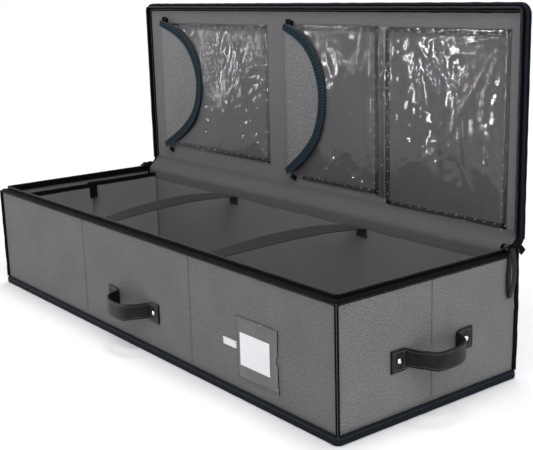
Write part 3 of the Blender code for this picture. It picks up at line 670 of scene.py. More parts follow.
def finish(name):
    """The material of that name, made at its first use."""
    if name in finishes:
        return finishes[name]
    scene = bpy.context.scene
    cloth, trim, hard = scene.gift_case_cloth, scene.gift_case_trim, scene.gift_case_hardware
    pitch, rib = cloth.thread, trim.rib
    # The hinge's lining is the lining cloth darkened to 0.64 of its colour: painted shade where the
    # lid meets the back wall.
    hinge = tinted(cloth.lining, 0.64)
    makers = {
        "cover cloth": (woven, cloth.cover, pitch * 1.6, 0.50, 0.00015, 0.7, 3.0),
        # The ends take the cover's cloth, kept a touch lighter for the light that falls on them:
        # painted light.
        "end cloth": (woven, cloth.end, pitch * 1.05, 0.68, 0.00045, 0.75, 6.0),
        "lining cloth": (woven, cloth.lining, pitch * 1.4, 0.22, 0.00018, 0.6, 2.4),
        "hinge cloth": (woven, hinge, pitch * 1.4, 0.18, 0.00018, 0.6, 1.8),
        "flap cloth": (woven, cloth.flap, pitch * 1.9, 0.46, 0.00050, 0.75, 6.0),
        "strap web": (woven, trim.web, 0.0022, 0.35, 0.00035, 0.4, 2.0),
        "tab cloth": (woven, rgb(238, 238, 238), 0.0009, 0.10, 0.00015),
        "black tape": (ribbed, trim.tape, rib, 0.40, 0.00022),
        "base tape": (ribbed, trim.base, rib, 0.35, 0.00025),
        "arc tape": (ribbed, trim.arc, rib * ARC_RIB, 1.0, 0.00040),
        "zip tape": (ribbed, trim.tape, rib * 0.6, 0.35, 0.00012),
        "coil": (thread, trim.tooth),
        "black thread": (thread, rgb(28, 28, 30)),
        # A teal-grey thread, lighter than the tape, so that its stitches carry a painted highlight.
        "edge thread": (thread, rgb(72, 82, 88)),
        "grey thread": (thread, rgb(104, 104, 106)),
        "pale thread": (thread, rgb(196, 197, 200)),
        "leather": (leather, hard.leather),
        "rivet metal": (metal, hard.rivet, 0.16, 0.10),
        "slider metal": (metal, hard.slider, 0.26, 0.16),
        "card": (fibrous, hard.card, 0.0009, 0.03, 0.6),
        "board": (fibrous, rgb(150, 126, 96), 0.0015, 0.25, 0.85),
        # The pockets' grey tints, darker still in the doubled hems, are partly painted shade on the
        # lining behind them.
        "clear vinyl": (clear_vinyl, 0.003, 0.89, 0.4),
        "hem vinyl": (clear_vinyl, 0.004, 0.80, 0.4),
        "label vinyl": (clear_vinyl, 0.0, 0.985, 0.02),
    }
    maker, *values = makers[name]
    finishes[name] = maker(name, *values)
    return finishes[name]


# Trees that make what repeats

SIZES = dict.fromkeys(("Pitch", "Length", "Width", "Height", "Wobble"), "Float")
ROW_INPUTS = {**SIZES, "Seed": "Int", "Facing": "Vector", "Material": "Material"}
RIVET_INPUTS = dict.fromkeys(("Radius", "Dome", "Shank", "Through"), "Float")
RIVET_INPUTS["Material"] = "Material"


def tree_of(name, inputs, build):
    """A tree, made at its first use, whose instances end as one smooth mesh."""
    if name in bpy.data.node_groups:
        return bpy.data.node_groups[name]
    tree = bpy.data.node_groups.new(name, "GeometryNodeTree")
    for label, kind in {"Geometry": "Geometry", **inputs}.items():
        tree.interface.new_socket(label, in_out="INPUT", socket_type="NodeSocket" + kind)
    tree.interface.new_socket("Geometry", in_out="OUTPUT", socket_type="NodeSocketGeometry")
    nodes = Nodes(tree)
    start = nodes.add("NodeGroupInput")
    line = nodes.add("GeometryNodeMeshToCurve", {0: start["Geometry"]})[0]
    tangent = nodes.add("GeometryNodeInputTangent")[0]
    row = nodes.add("GeometryNodeRealizeInstances", {0: build(nodes, start, line, tangent)})[0]
    row = nodes.add("GeometryNodeSetShadeSmooth", {0: row})[0]
    row = nodes.add("GeometryNodeSetMaterial", {0: row, "Material": start["Material"]})[0]
    nodes.add("NodeGroupOutput", {0: row})
    return tree


def bodies_in_rows(nodes, start, line, tangent):
    """Rounded bodies in a row along each line, such as stitches and zipper coils."""
    inputs = {"Curve": line, "Length": start["Pitch"]}
    line = nodes.add("GeometryNodeResampleCurve", inputs, mode="LENGTH")[0]
    inputs = {"Primary Axis": tangent, "Secondary Axis": start["Facing"]}
    axes = {"primary_axis": "X", "secondary_axis": "Z"}
    turn = nodes.add("FunctionNodeAxesToRotation", inputs, **axes)[0]
    lower = nodes.calc("MULTIPLY", start["Wobble"], -1.0)
    inputs = {2: lower, 3: start["Wobble"], "Seed": start["Seed"]}
    tilt = nodes.add("FunctionNodeRandomValue", inputs, data_type="FLOAT")[1]
    tilt = nodes.add("FunctionNodeEulerToRotation", {0: nodes.vector(0, 0, tilt)})[0]
    inputs = {0: turn, 1: tilt}
    turn = nodes.add("FunctionNodeRotateRotation", inputs, rotation_space="LOCAL")[0]
    inputs = {"Segments": 8, "Rings": 5, "Radius": 0.5}
    body = nodes.add("GeometryNodeMeshUVSphere", inputs)[0]
    size = nodes.vector(start["Length"], start["Width"], start["Height"])
    body = nodes.add("GeometryNodeTransform", {"Geometry": body, "Scale": size})[0]
    inputs = {"Points": line, "Instance": body, "Rotation": turn}
    return nodes.add("GeometryNodeInstanceOnPoints", inputs)[0]


def rivets_on_lines(nodes, start, line, tangent):
    """A domed head at each end of a line, and the shank between them."""
    ends, points = (
        nodes.add("GeometryNodeResampleCurve", {"Curve": line, "Count": count}, mode="COUNT")[0]
        for count in (2, 3)
    )
    way = {"axis": "Z", "pivot_axis": "AUTO"}
    turn = nodes.add("FunctionNodeAlignRotationToVector", {"Vector": tangent}, **way)[0]
    inputs = {"Segments": 28, "Rings": 14, "Radius": 1.0}
    dome = nodes.add("GeometryNodeMeshUVSphere", inputs)[0]
    size = nodes.vector(start["Radius"], start["Radius"], start["Dome"])
    dome = nodes.add("GeometryNodeTransform", {"Geometry": dome, "Scale": size})[0]
    inputs = {"Points": ends, "Instance": dome, "Rotation": turn}
    heads = nodes.add("GeometryNodeInstanceOnPoints", inputs)[0]
    place = nodes.calc("MODULO", nodes.add("GeometryNodeInputIndex")[0], 3.0)
    equal = {"data_type": "INT", "operation": "EQUAL"}
    middle = nodes.add("FunctionNodeCompare", {2: place, 3: 1}, **equal)[0]
    inputs = {"Vertices": 20, "Radius": start["Shank"], "Depth": start["Through"]}
    shank = nodes.add("GeometryNodeMeshCylinder", inputs)[0]
    inputs = {"Points": points, "Selection": middle, "Instance": shank, "Rotation": turn}
    shanks = nodes.add("GeometryNodeInstanceOnPoints", inputs)[0]
    return nodes.add("GeometryNodeJoinGeometry", {0: [heads, shanks]})[0]


def grow(name, lines, tree, values):
    """Runs a tree along lines of points and keeps the result as a plain mesh."""
    points, edges = [], []
    for line in lines:
        edges += [(len(points) + place, len(points) + place + 1) for place in range(len(line) - 1)]
        points += np.asarray(line, float).tolist()
    mesh = bpy.data.meshes.new(name + " lines")
    mesh.from_pydata(points, edges, [])
    guide = put(name + " lines", mesh)
    modifier = guide.modifiers.new("grown", "NODES")
    modifier.node_group = tree
    for item in tree.interface.items_tree:
        if item.in_out == "INPUT" and item.name in values:
            modifier[item.identifier] = values[item.name]
    evaluated = guide.evaluated_get(bpy.context.evaluated_depsgraph_get())
    grown = bpy.data.meshes.new_from_object(evaluated)
    bpy.data.objects.remove(guide)
    return put(name, grown)


def row_of(name, lines, facing, material, seed, pitch, size, wobble):
    """Rounded bodies, each of one length, width and height, along lines."""
    values = dict(zip(("Length", "Width", "Height"), size))
    values |= {"Pitch": pitch, "Wobble": wobble, "Seed": seed, "Facing": facing}
    values["Material"] = finish(material)
    return grow(name, lines, tree_of("rows", ROW_INPUTS, bodies_in_rows), values)


def sew(
    name, lines, facing, body, slot, seed,
    material="black thread", pitch=None, share=0.62, width=0.0007, wobble=0.10,
):
    """Sewn stitches along lines that lie just on the cloth; a stitch is a share of the pitch."""
    pitch = pitch or bpy.context.scene.gift_case_trim.stitch
    size = (pitch * share, width, width)
    settle(row_of(name, lines, facing, material, seed, pitch, size, wobble), body, slot)


# Pieces of the case

# Flat places under the handles: from and to along the wall, then from and to up it
HANDLE_BOX = (-0.081, 0.081, 0.054, 0.090)
END_HANDLE_BOX = (-0.081, 0.081, 0.070, 0.106)


def wall(end, sign, lengthwise, material, seed, flat_boxes=()):
    """One wall's cloth, puffed over its boards and pressed in along its folds."""
    cloth = bpy.context.scene.gift_case_cloth
    half, plane, folds = HALF_LENGTH, HALF_DEPTH, FRONT_FOLDS
    if not lengthwise:
        half, plane, folds = HALF_DEPTH - 0.0013, HALF_LENGTH, END_FOLDS
    low = corner_low(end + "_cover").z
    rise = (BAND_TOP, WALL_TOP)

    def place(u, v, out):
        face = sign * (plane + out)
        return at(u, face, v) if lengthwise else at(face, u, v)

    def relief(u, v):
        lift = cloth_relief(
            u, v, (-half, half), rise, folds, seed, cloth.puff, cloth.fold, flat_boxes
        )
        if not lengthwise:
            # The back edge of an end bows out a little over its corner
            bow = 0.0016 * hump(u, HALF_DEPTH, 0.035)
            lift = lift + bow * np.sin(math.pi * np.clip(v / 0.19, 0, 1))
        return lift * ease(v, 0.002, 0.018)

    us, vs = steps(-half, half, 0.007, folds), steps(low, WALL_TOP, 0.0055)
    thing = slab(end + "_cloth", us, vs, place, relief, -0.0034, material)
    settle(thing, "case", "cover_fabric", end + "_cover", flat=(2 * half, WALL_TOP - low))


class GIFTCASE_OT_walls(bpy.types.Operator):
    """Cloth of the four walls and of the floor, with the sewn line above the base band"""

    bl_idname = "gift_case.walls"
    bl_label = "Walls"

    def execute(self, context):
        low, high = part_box("label_window")
        around = 0.002
        left = corner_low("side_tab").x - around
        label_box = (left, high.x + around, low.z - around, high.z + around)
        wall("front", -1, True, "cover cloth", 11, (HANDLE_BOX, label_box))
        wall("back", 1, True, "cover cloth", 23)
        wall("left", -1, False, "end cloth", 37, (END_HANDLE_BOX,))
        wall("right", 1, False, "end cloth", 41, (END_HANDLE_BOX,))
        box = (-HALF_LENGTH, HALF_LENGTH, -HALF_DEPTH, HALF_DEPTH)

        def under(u, v):
            sag = 0.0004 * ease(edge_gap(u, v, box), 0.0, 0.05)
            return np.clip(sag * (0.5 + 0.5 * ripple(u, v, 0.12, 51)), 0, 0.0008)

        us, vs = steps(*box[:2], 0.02), steps(*box[2:], 0.02)
        floor = slab("floor_cloth", us, vs, at, under, 0.001, "cover cloth")
        flat = (2 * HALF_LENGTH, 2 * HALF_DEPTH)
        settle(floor, "case", "cover_fabric", "base_cover", flat=flat)
        line = Rail("base", 0.0004, spacing=0.009).line(-0.0007, 0.0162)
        look = {"material": "grey thread", "pitch": 0.0048, "width": 0.0006}
        sew("hem_stitches", [line], UP, "case", "cover_fabric", 3, **look)
        return {"FINISHED"}


class GIFTCASE_OT_boards(bpy.types.Operator):
    """Finish of the stiffener boards inside the walls, the floor and the lid"""

    bl_idname = "gift_case.boards"
    bl_label = "Stiffener boards"

    def execute(self, context):
        for name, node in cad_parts.items():
            if "_board" in name:
                node.data.materials.clear()
                node.data.materials.append(finish("board"))
        return {"FINISHED"}


# Heights of the rings of the wall lining, closer together where it meets the floor and the rim
LINING_LEVELS = (
    0.0040, 0.0075, 0.013, 0.03, 0.055, 0.08, 0.105, 0.13, 0.155, 0.172, 0.183, 0.1912,
)


class GIFTCASE_OT_lining(bpy.types.Operator):
    """Lining of the walls and the covered board that lies on the floor"""

    bl_idname = "gift_case.lining"
    bl_label = "Lining"

    def execute(self, context):
        rail = Rail("base", 0.006, spacing=0.009)
        inner, outer = rail.flat(0.005), rail.flat(0.0041)
        run, normal = run_along(inner), outward(inner, True)

        def inner_ring(level):
            lift = 0.0005 * (0.5 + 0.5 * ripple(run, level, 0.11, 61))
            lift += 0.0002 * ripple(run, level, 0.03, 62)
            for fold in FRONT_FOLDS:
                lift -= 0.0006 * hump(inner[:, 0], fold, 0.004)
            lift = np.clip(lift * ease(level, 0.004, 0.03), -0.0004, 0.0007)
            return at(*(inner - normal * lift[:, None]).T, level)

        rings = [inner_ring(level) for level in LINING_LEVELS]
        rings += [at(*outer.T, level) for level in LINING_LEVELS[::-1]]
        tub = ring_solid("wall_lining", np.stack(rings, 1), "lining cloth", True, 40, run)
        half_x, half_y = INNER_X + 0.0002, INNER_Y + 0.0002
        box = (-half_x, half_x, -half_y, half_y)

        def top(u, v):
            edge = edge_gap(u, v, box)
            height = FLOOR_TOP + 0.0004 * ripple(u, v, 0.10, 65) * ease(edge, 0, 0.03)
            height -= 0.0005 * (1 - ease(edge, 0, 0.004))
            for fold in FRONT_FOLDS:
                height -= 0.0005 * hump(u, fold, 0.0016)
            return height

        us = steps(*box[:2], 0.011, (*box[:2], *FRONT_FOLDS), 0.0012, 0.006)
        vs = steps(*box[2:], 0.011, box[2:], 0.0012, 0.006)
        ground = slab("floor_board_cloth", us, vs, at, top, 0.0020, "lining cloth")
        for piece in (tub, ground):
            settle(piece, "case", "lining_fabric", "case_lining")
        return {"FINISHED"}


def end_pocket(side, seed):
    """One bound panel of the pockets inside the left end. The front one has a divider."""
    name, node = "end_pocket_" + side, "end_pocket_panel_" + side
    low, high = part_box(node)
    outer_x = high.x - 0.0009
    inner_x = outer_x - 0.0026
    hem = high.z - 0.009

    def bow(u, v):
        arc = np.sin(math.pi * np.clip((u - low.y) / (high.y - low.y), 0, 1))
        rise = np.clip((v - FLOOR_TOP) / (hem - FLOOR_TOP), 0, 1)
        return 0.0016 * arc * rise**1.5 + 0.0005 * ripple(u, v, 0.05, seed) * arc

    def face(u, v, x):
        return at(x + bow(u, v), u, v)

    def divider_face(u, v, y):
        return at(u, y + 0.0006 * ripple(u, v, 0.04, 75), v)

    us, vs = steps(low.y, high.y, 0.006), steps(low.z, hem + 0.004, 0.007)
    pieces = [slab(name + "_cloth", us, vs, face, outer_x, inner_x, "lining cloth")]
    if side == "front":
        us, vs = steps(-INNER_X + 0.0004, inner_x + 0.001, 0.006), steps(low.z, hem, 0.007)
        thick = (0.0012, -0.0012)
        pieces.append(slab(name + "_divider", us, vs, divider_face, *thick, "lining cloth"))
    settle(merged(name + "_panel", pieces), "case", "lining_fabric", node)
    ys = steps(low.y, high.y, 0.005)
    middle_x = (outer_x + inner_x) / 2 + bow(ys, hem)
    path = at(middle_x, ys, high.z - 0.0046 + 0.0004 * ripple(ys, 0, 0.03, seed))
    band = carry(name + "_binding", path, RIGHT, oval(0.0092, 0.0046, 0.45, 20), "black tape")
    settle(band, "case", "black_tape", node)
    sew(name + "_stitches", [path + (0.0023, 0, -0.0030)], RIGHT, "case", "black_tape", seed)


# The tab over the hem of the front panel, as (x, z) from the panel's top edge
POCKET_TAB = (
    (0.0016, -0.030), (0.0014, -0.016), (0.0012, -0.004), (0.0002, 0.0012),
    (-0.0030, 0.0022), (-0.0064, 0.0010), (-0.0078, -0.006), (-0.0080, -0.014),
)


class GIFTCASE_OT_end_pockets(bpy.types.Operator):
    """Two bound panels and a divider that make pockets inside the left end"""

    bl_idname = "gift_case.end_pockets"
    bl_label = "End pockets"

    def execute(self, context):
        end_pocket("front", 71)
        end_pocket("back", 73)
        high = corner_high("end_pocket_panel_front")
        drop = through(POCKET_TAB, 29)
        path = at(high.x + drop[:, 0], 0.0040, high.z + drop[:, 1])
        section = oval(0.017, 0.0012, 0.25)
        tab = carry("end_pocket_tab", path, (1, 0, 0.001), section, "black tape")
        settle(tab, "case", "black_tape")
        return {"FINISHED"}


# Sections of the tapes, as (inset, height); the rim's heights are from the tape's lower edge
# and from the rim's top
BAND_SECTION = (
    (-0.0003, 0.0000), (-0.0040, 0.0000), (-0.0053, 0.0007), (-0.0059, 0.0028),
    (-0.0060, 0.0062), (-0.0058, 0.0096), (-0.0050, 0.0118), (-0.0034, 0.0129),
    (-0.0014, 0.0130), (-0.0003, 0.0122),
)
RIM_EDGE = RIM_TOP - 0.0062
RIM_SECTION = (
    (-0.0003, RIM_EDGE + 0.0002), (-0.0012, RIM_EDGE - 0.0001), (-0.0017, RIM_EDGE + 0.0010),
    (-0.0020, RIM_EDGE + 0.0028), (-0.0018, RIM_EDGE + 0.0048), (-0.0006, RIM_TOP + 0.0002),
    (0.0022, RIM_TOP + 0.0005), (0.0052, RIM_TOP + 0.0002), (0.0065, RIM_TOP - 0.0016),
    (0.0068, RIM_EDGE + 0.0028), (0.0066, RIM_EDGE + 0.0010), (0.0061, RIM_EDGE - 0.0001),
    (0.0053, RIM_EDGE + 0.0002), (0.0053, RIM_TOP - 0.0014), (0.0002, RIM_TOP - 0.0014),
)


def corner_welt(side, side_y, end, side_x):
    """Piping down a corner; at the back it bows out with the end's cloth and reaches higher."""
    name, node = f"{side}_{end}", f"corner_piping_{side}_{end}"
    low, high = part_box(node)
    zs = steps(low.z, RIM_TOP + 0.002 if side_y > 0 else RIM_EDGE + 0.0035, 0.004)
    out = np.array([side_x, side_y, 0]) / math.sqrt(2)
    swell = 0.0003 * ripple(zs, 0, 0.035, 83 + side_x + 3 * side_y) - 0.0006
    middle = np.array([(low.x + high.x) / 2, (low.y + high.y) / 2, 0])
    path = middle + out * swell[:, None] + at(0, 0, zs)
    if side_y > 0:
        path[:, 0] += side_x * 0.0016 * np.sin(math.pi * zs / 0.19)
    welt = carry("corner_welt_" + name, path, out, oval(0.0060, 0.0062, 0.8), "black tape")
    settle(welt, "case", "black_tape", node)
    # Stitches close enough to run together, in the lighter thread: partly stitching, partly a
    # painted highlight line down the piping.
    look = {"material": "edge thread", "share": 1.1}
    sew("corner_highlight_stitches_" + name, [path + out * 0.0032], UP, "case", "black_tape", 6, **look)


class GIFTCASE_OT_bindings(bpy.types.Operator):
    """Band round the floor, piping down the corners and tape over the rim"""

    bl_idname = "gift_case.bindings"
    bl_label = "Bindings"

    def execute(self, context):
        rail = Rail("base", 0.0035, spacing=0.006)
        band = sweep("base_band", BAND_SECTION, rail, "base tape", 0.00022, 81)
        settle(band, "case", "black_tape", "base_binding")
        sew("base_stitches", [rail.line(-0.0060, 0.0098)], UP, "case", "black_tape", 5)
        for side, side_y in (("front", -1), ("back", 1)):
            for end, side_x in ENDS:
                corner_welt(side, side_y, end, side_x)
        rail = Rail("rim", 0.0032, HALF_DEPTH - 0.002)
        tape = sweep("rim_tape", RIM_SECTION, rail, "black tape", 0.00030, 91)
        settle(tape, "case", "black_tape", "rim_binding")
        line = rail.line(-0.0021, RIM_EDGE + 0.0020)
        sew("rim_stitches", [line], UP, "case", "black_tape", 7)
        return {"FINISHED"}


def zip_half(body, foot, bead, near, seed):
    """One tape of the zipper with its coil along the free edge."""
    name, node = body + "_zip", body + "_zipper"
    trim = bpy.context.scene.gift_case_trim
    rail = Rail("lid" if body == "lid" else "rim", 0.014, near)
    span = bead - foot
    levels = (foot, foot + span * 0.35, foot + span * 0.7, bead, bead + 0.0008)
    half = list(zip((0.0005, 0.0005, 0.0005, 0.0007, 0.0004), levels))
    section = [(ZIP_INSET - across, level) for across, level in half]
    section += [(ZIP_INSET + across, level) for across, level in half[::-1]]

    def wave(run):
        return 0.0004 * ripple(run, 0, 0.06, seed)

    def swell(run, height):
        return wave(run) * np.clip(np.abs(height - foot) / abs(span), 0, 1.2)

    tape = sweep(name + "_tape", section, rail, "zip tape", 0.00006, seed, 60, swell)
    settle(tape, body, "zip_tape", node)
    flat = rail.flat(ZIP_INSET)
    flat = flat + outward(flat, False) * wave(run_along(flat))[:, None]
    pitch = trim.tooth_pitch
    size = (pitch * 0.72, 0.0030, 0.0022)
    facing = UP if body == "case" else FRONT
    line = rail.place(*flat.T, bead)
    coil = row_of(name + "_coil", [line], facing, "coil", seed, pitch, size, 0.04)
    settle(coil, body, "zip_tape", node)


def slider_plate(x, y, z):
    """A rounded plate of a slider that stands upright along the zipper."""
    angle = 2 * math.pi * np.arange(28) / 28
    along, up = squared(np.cos(angle), 0.65), squared(np.sin(angle), 0.75)
    up = up * (1 - 0.16 * np.maximum(along, 0))
    rings = []
    for shift, scale in (
        (-0.5, 0.86), (-0.38, 0.97), (-0.15, 1.0), (0.15, 1.0), (0.38, 0.97), (0.5, 0.86),
    ):
        ring = at(x + shift * 0.0012, y + along * 0.0066 * scale, z + up * 0.0056 * scale)
        rings.append(ring)
    return ring_solid("plate", np.stack(rings), "slider metal", False, 30)


def zip_slider(end, side):
    """Two plates joined by a bridge, with two arms that hold the bar of the pull."""
    name = end + "_slider"
    low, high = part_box(name)
    y, z = (low.y + high.y) / 2, BEAD_Z + 0.0020
    zip_x = HALF_LENGTH - ZIP_INSET
    reach = 0.0026
    parts = [slider_plate(side * (zip_x + offset), y, z) for offset in (0.0028, -0.0028)]
    rods = [(at(side * (zip_x + reach * np.array([-1, 1])), y, z), (0.0034, 0.0010, 0.6, 14))]
    share = np.linspace(0, 1, 12)
    arm_x = side * (zip_x + reach + (PULL_BAR_X - zip_x - reach) * share)
    arm_z = BEAD_Z + 0.0014 * np.sin(math.pi * share) * (1 - share) * 2
    rods += [(at(arm_x, y + way * 0.0051, arm_z), (0.0015, 0.0020, 0.7, 12)) for way in (-1, 1)]
    bar = at(side * PULL_BAR_X, y + np.linspace(-0.0058, 0.0058, 9), BEAD_Z)
    rods.append((bar, (0.0018, 0.0018, 1.0, 14)))
    parts += [carry("rod", path, UP, oval(*section), "slider metal") for path, section in rods]
    settle(merged(end + "_zip_slider", parts), name, "slider_metal", name)


def zip_pull(end, side):
    """A thin leather strap looped round the bar, folded and sewn at its foot."""
    body = end + "_pull"
    low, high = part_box(body)
    middle_y, drop = (low.y + high.y) / 2, high.z - low.z

    def hang(flat, lift=0.0, shift=0.0):
        """The strap's side view, swayed as it hangs."""
        sway = np.clip(-flat[:, 1] / drop, 0, 1)
        x = side * (PULL_BAR_X + flat[:, 0] + 0.0022 * sway**2 + lift)
        return at(x, middle_y - 0.0060 * np.sin(sway * 2.4) * sway + shift, BEAD_Z + flat[:, 1])

    angle = np.linspace(0, math.pi, 12)
    turn = np.linspace(0, math.pi, 8)[1:-1]
    share = np.linspace(0, 1, 26)[1:]
    down = -drop * 0.93 * share
    near_side = at(-0.0020 + 0.0012 * share - 0.0012 * np.sin(math.pi * share), down)
    far_side = at(0.0020 - 0.0012 * share + 0.0062 * np.sin(math.pi * share**1.1), down)
    foot = at(-0.0008 * np.cos(turn), down[-1] - 0.0012 * np.sin(turn))
    loop = at(0.0020 * np.cos(angle), 0.0020 * np.sin(angle))
    path = hang(np.concatenate([loop, near_side, foot, far_side[::-1]]))
    section = oval(0.0011, 0.0098, 0.6, 16)
    strap = carry(end + "_leather_pull", path, BACK, section, "leather", True)
    settle(strap, body, "black_leather", body)
    lines = [hang(far_side[5:], 0.0006, way * 0.0036) for way in (-1, 1)]
    look = {"pitch": 0.0030, "width": 0.0005}
    sew(end + "_pull_stitches", lines, RIGHT, body, "black_leather", 9, **look)


# The folded end of the zipper tape, from the upper back corner of the case
ZIP_END = (
    (-0.0060, -0.008, 0.0040), (-0.0020, -0.003, 0.0070), (0.0010, 0.003, 0.0065),
    (0.0030, 0.009, 0.0030), (0.0040, 0.013, -0.0025),
)


class GIFTCASE_OT_zipper(bpy.types.Operator):
    """Both halves of the zipper, its two sliders and their leather pulls"""

    bl_idname = "gift_case.zipper"
    bl_label = "Zipper"

    def execute(self, context):
        zip_half("case", RIM_TOP - 0.006, BEAD_Z, corner_high("case_zipper").y, 101)
        low = corner_low("lid_zipper")
        zip_half("lid", LID_FACE + 0.0016, HINGE_Y - low.y - 0.0012, low.z - HINGE_Z, 103)
        for end, side in ENDS:
            zip_slider(end, side)
            zip_pull(end, side)
            path = through(np.array([HALF_LENGTH, HALF_DEPTH, RIM_TOP]) + ZIP_END, 21)
            path[:, 0] *= side
            section = oval(0.0110, 0.0026, 0.3)
            tab = carry(end + "_zip_end", path, (side, 0, 0), section, "zip tape")
            settle(tab, "case", "zip_tape")
        return {"FINISHED"}


# The rise of a strap, as (share of the way back, share of the height of its crown)
STRAP_SHARES = ((0.06, 0.42), (0.22, 0.80), (0.46, 1.0), (0.72, 0.80), (0.94, 0.34))


def hold_down_strap(end, front_share, back_share, rise, seed):
    """A woven strap that bows up between the walls, with its ends sewn down inside them."""
    node = "hold_down_strap_" + end
    wall_y = HALF_DEPTH - 0.0053 - 0.0008
    front_x, back_x = HALF_LENGTH * front_share, HALF_LENGTH * back_share
    front_z, back_z = RIM_TOP - 0.011, RIM_TOP - 0.020
    crown = RIM_TOP + rise - 0.0008
    points = [(-wall_y, front_z - drop) for drop in (0.014, 0.005, 0)]
    for along, up in STRAP_SHARES:
        chord = front_z + (back_z - front_z) * along
        points.append((wall_y * (2 * along - 1), chord + (crown - chord) * up))
    points += [(wall_y, back_z - drop) for drop in (0, 0.005, 0.014)]
    flat = eased_path(points, 6)
    share = (flat[:, 0] + wall_y) / (2 * wall_y)
    path = at(front_x + (back_x - front_x) * share, *flat.T)
    path[:, 2] += 0.0004 * ripple(share, 0, 0.3, seed)
    turn = math.radians(24) * arch(share)[:, None] ** 0.6
    facing = unit(np.cross(RIGHT, np.gradient(path, axis=0))) * np.cos(turn)
    facing = facing + np.array(RIGHT) * np.sin(turn)
    web = carry(node + "_web", path, facing, oval(0.025, 0.0020, 0.22, 22), "strap web")
    settle(web, "case", "black_tape", node)
    side, out = frames_along(path, facing)
    lines = [(path + side * way * 0.0110 + out * 0.0009)[6:-6] for way in (-1, 1)]
    look = {"pitch": 0.0036, "width": 0.0006}
    sew(node + "_stitches", lines, UP, "case", "black_tape", seed, **look)
    tacks = []
    for share in (0.35, 0.75):
        spot = path[0] + (path[12] - path[0]) * share
        tacks.append(spot + at((-0.009, 0.009), 0.0011, 0))
    look = {"pitch": 0.0016, "share": 0.9}
    sew(node + "_bartack", tacks, BACK, "case", "black_tape", seed, **look)


class GIFTCASE_OT_straps(bpy.types.Operator):
    """Two woven straps that cross the case from the front wall to the back wall"""

    bl_idname = "gift_case.straps"
    bl_label = "Hold-down straps"

    def execute(self, context):
        hold_down_strap("left", -0.241, -0.359, 0.001, 111)
        hold_down_strap("right", 0.384, 0.370, -0.002, 113)
        return {"FINISHED"}


# The bulge of a handle, as (share of half its loop, share of its height off the wall)
HANDLE_SHARES = ((0.92, 0.03), (0.86, 0.27), (0.78, 0.56), (0.62, 0.83), (0.34, 0.97), (0.0, 1.0))


def handle(end, origin, along, out):
    """A leather strap that bulges off its wall between two sewn and riveted plates."""
    origin, along, out, up = (np.array(part, float) for part in (origin, along, out, UP))
    half, plate, seat, bulge = 0.079, 0.027, 0.0019, 0.036
    loop = half - plate
    points = [(half, seat), (half - 0.009, seat), (half - 0.018, seat), (loop, seat + 0.0003)]
    points += [(loop * share, seat + (bulge - seat) * rise) for share, rise in HANDLE_SHARES]
    points += [(-a, b) for a, b in points[-2::-1]]
    flat = eased_path(points, 5)
    place = np.abs(flat[:, 0])
    neck = ease(loop + 0.004 - place, 0, 0.010)
    middle = ease(loop * 0.75 - place, 0, 0.02)
    width = 0.032 - 0.0060 * neck + 0.0015 * middle
    thick = 0.0030 + 0.0012 * neck
    path = origin + along * flat[:, :1] + out * flat[:, 1:] - up * (0.0035 * middle)[:, None]
    facing = np.cross(np.gradient(path, axis=0), up)
    if facing[len(facing) // 2] @ out < 0:
        facing = -facing
    section = oval(width, thick, 0.20, 28)
    strap = carry(end + "_handle_strap", path, facing, section, "leather", False, 50)
    settle(strap, "case", "black_leather", end + "_handle")
    side, normal = frames_along(path, facing)
    top = path + normal * (thick / 2 + 0.0001)[:, None]
    edge = side * (width / 2 - 0.0035)[:, None]
    lines = [(top + edge * way)[2:-2] for way in (-1, 1)]
    face = origin + out * (seat + 0.0016)
    rods = []
    for way in (-1, 1):
        near, far, tall = way * (loop + 0.004), way * (half - 0.004), 0.012
        spots = ((near, -tall), (far, -tall), (far, tall), (near, tall))
        a, b, c, d = (face + along * x + up * z for x, z in spots)
        lines += [np.array(line) for line in ((a, b, c, d, a), (a, c), (b, d))]
        spot = origin + along * way * (half - plate / 2)
        rods.append([spot + out * -0.0062, spot + out * (seat + 0.0022)])
    lines = [resample(line, 0.001) for line in lines]
    # The lighter thread gives the handle's stitches painted highlights.
    look = {"material": "edge thread", "pitch": 0.0036}
    sew(end + "_handle_stitches", lines, tuple(out), "case", "black_leather", 13, **look)
    values = {"Radius": 0.0039, "Dome": 0.0019, "Shank": 0.0016, "Through": 0.0095}
    values["Material"] = finish("rivet metal")
    rivets = end + "_handle_rivets"
    heads = grow(rivets, rods, tree_of("rivets", RIVET_INPUTS, rivets_on_lines), values)
    nodes = [f"{end}_handle_rivet_{which}" for which in "ab"]
    settle(heads, "case", "rivet_metal", *nodes)


class GIFTCASE_OT_handles(bpy.types.Operator):
    """Three leather handles with sewn plates and domed rivets"""

    bl_idname = "gift_case.handles"
    bl_label = "Handles"

    def execute(self, context):
        handle("front", (0, -HALF_DEPTH, 0.072), RIGHT, FRONT)
        handle("right", (HALF_LENGTH, 0, 0.088), BACK, RIGHT)
        handle("left", (-HALF_LENGTH, 0, 0.088), FRONT, (-1, 0, 0))
        return {"FINISHED"}


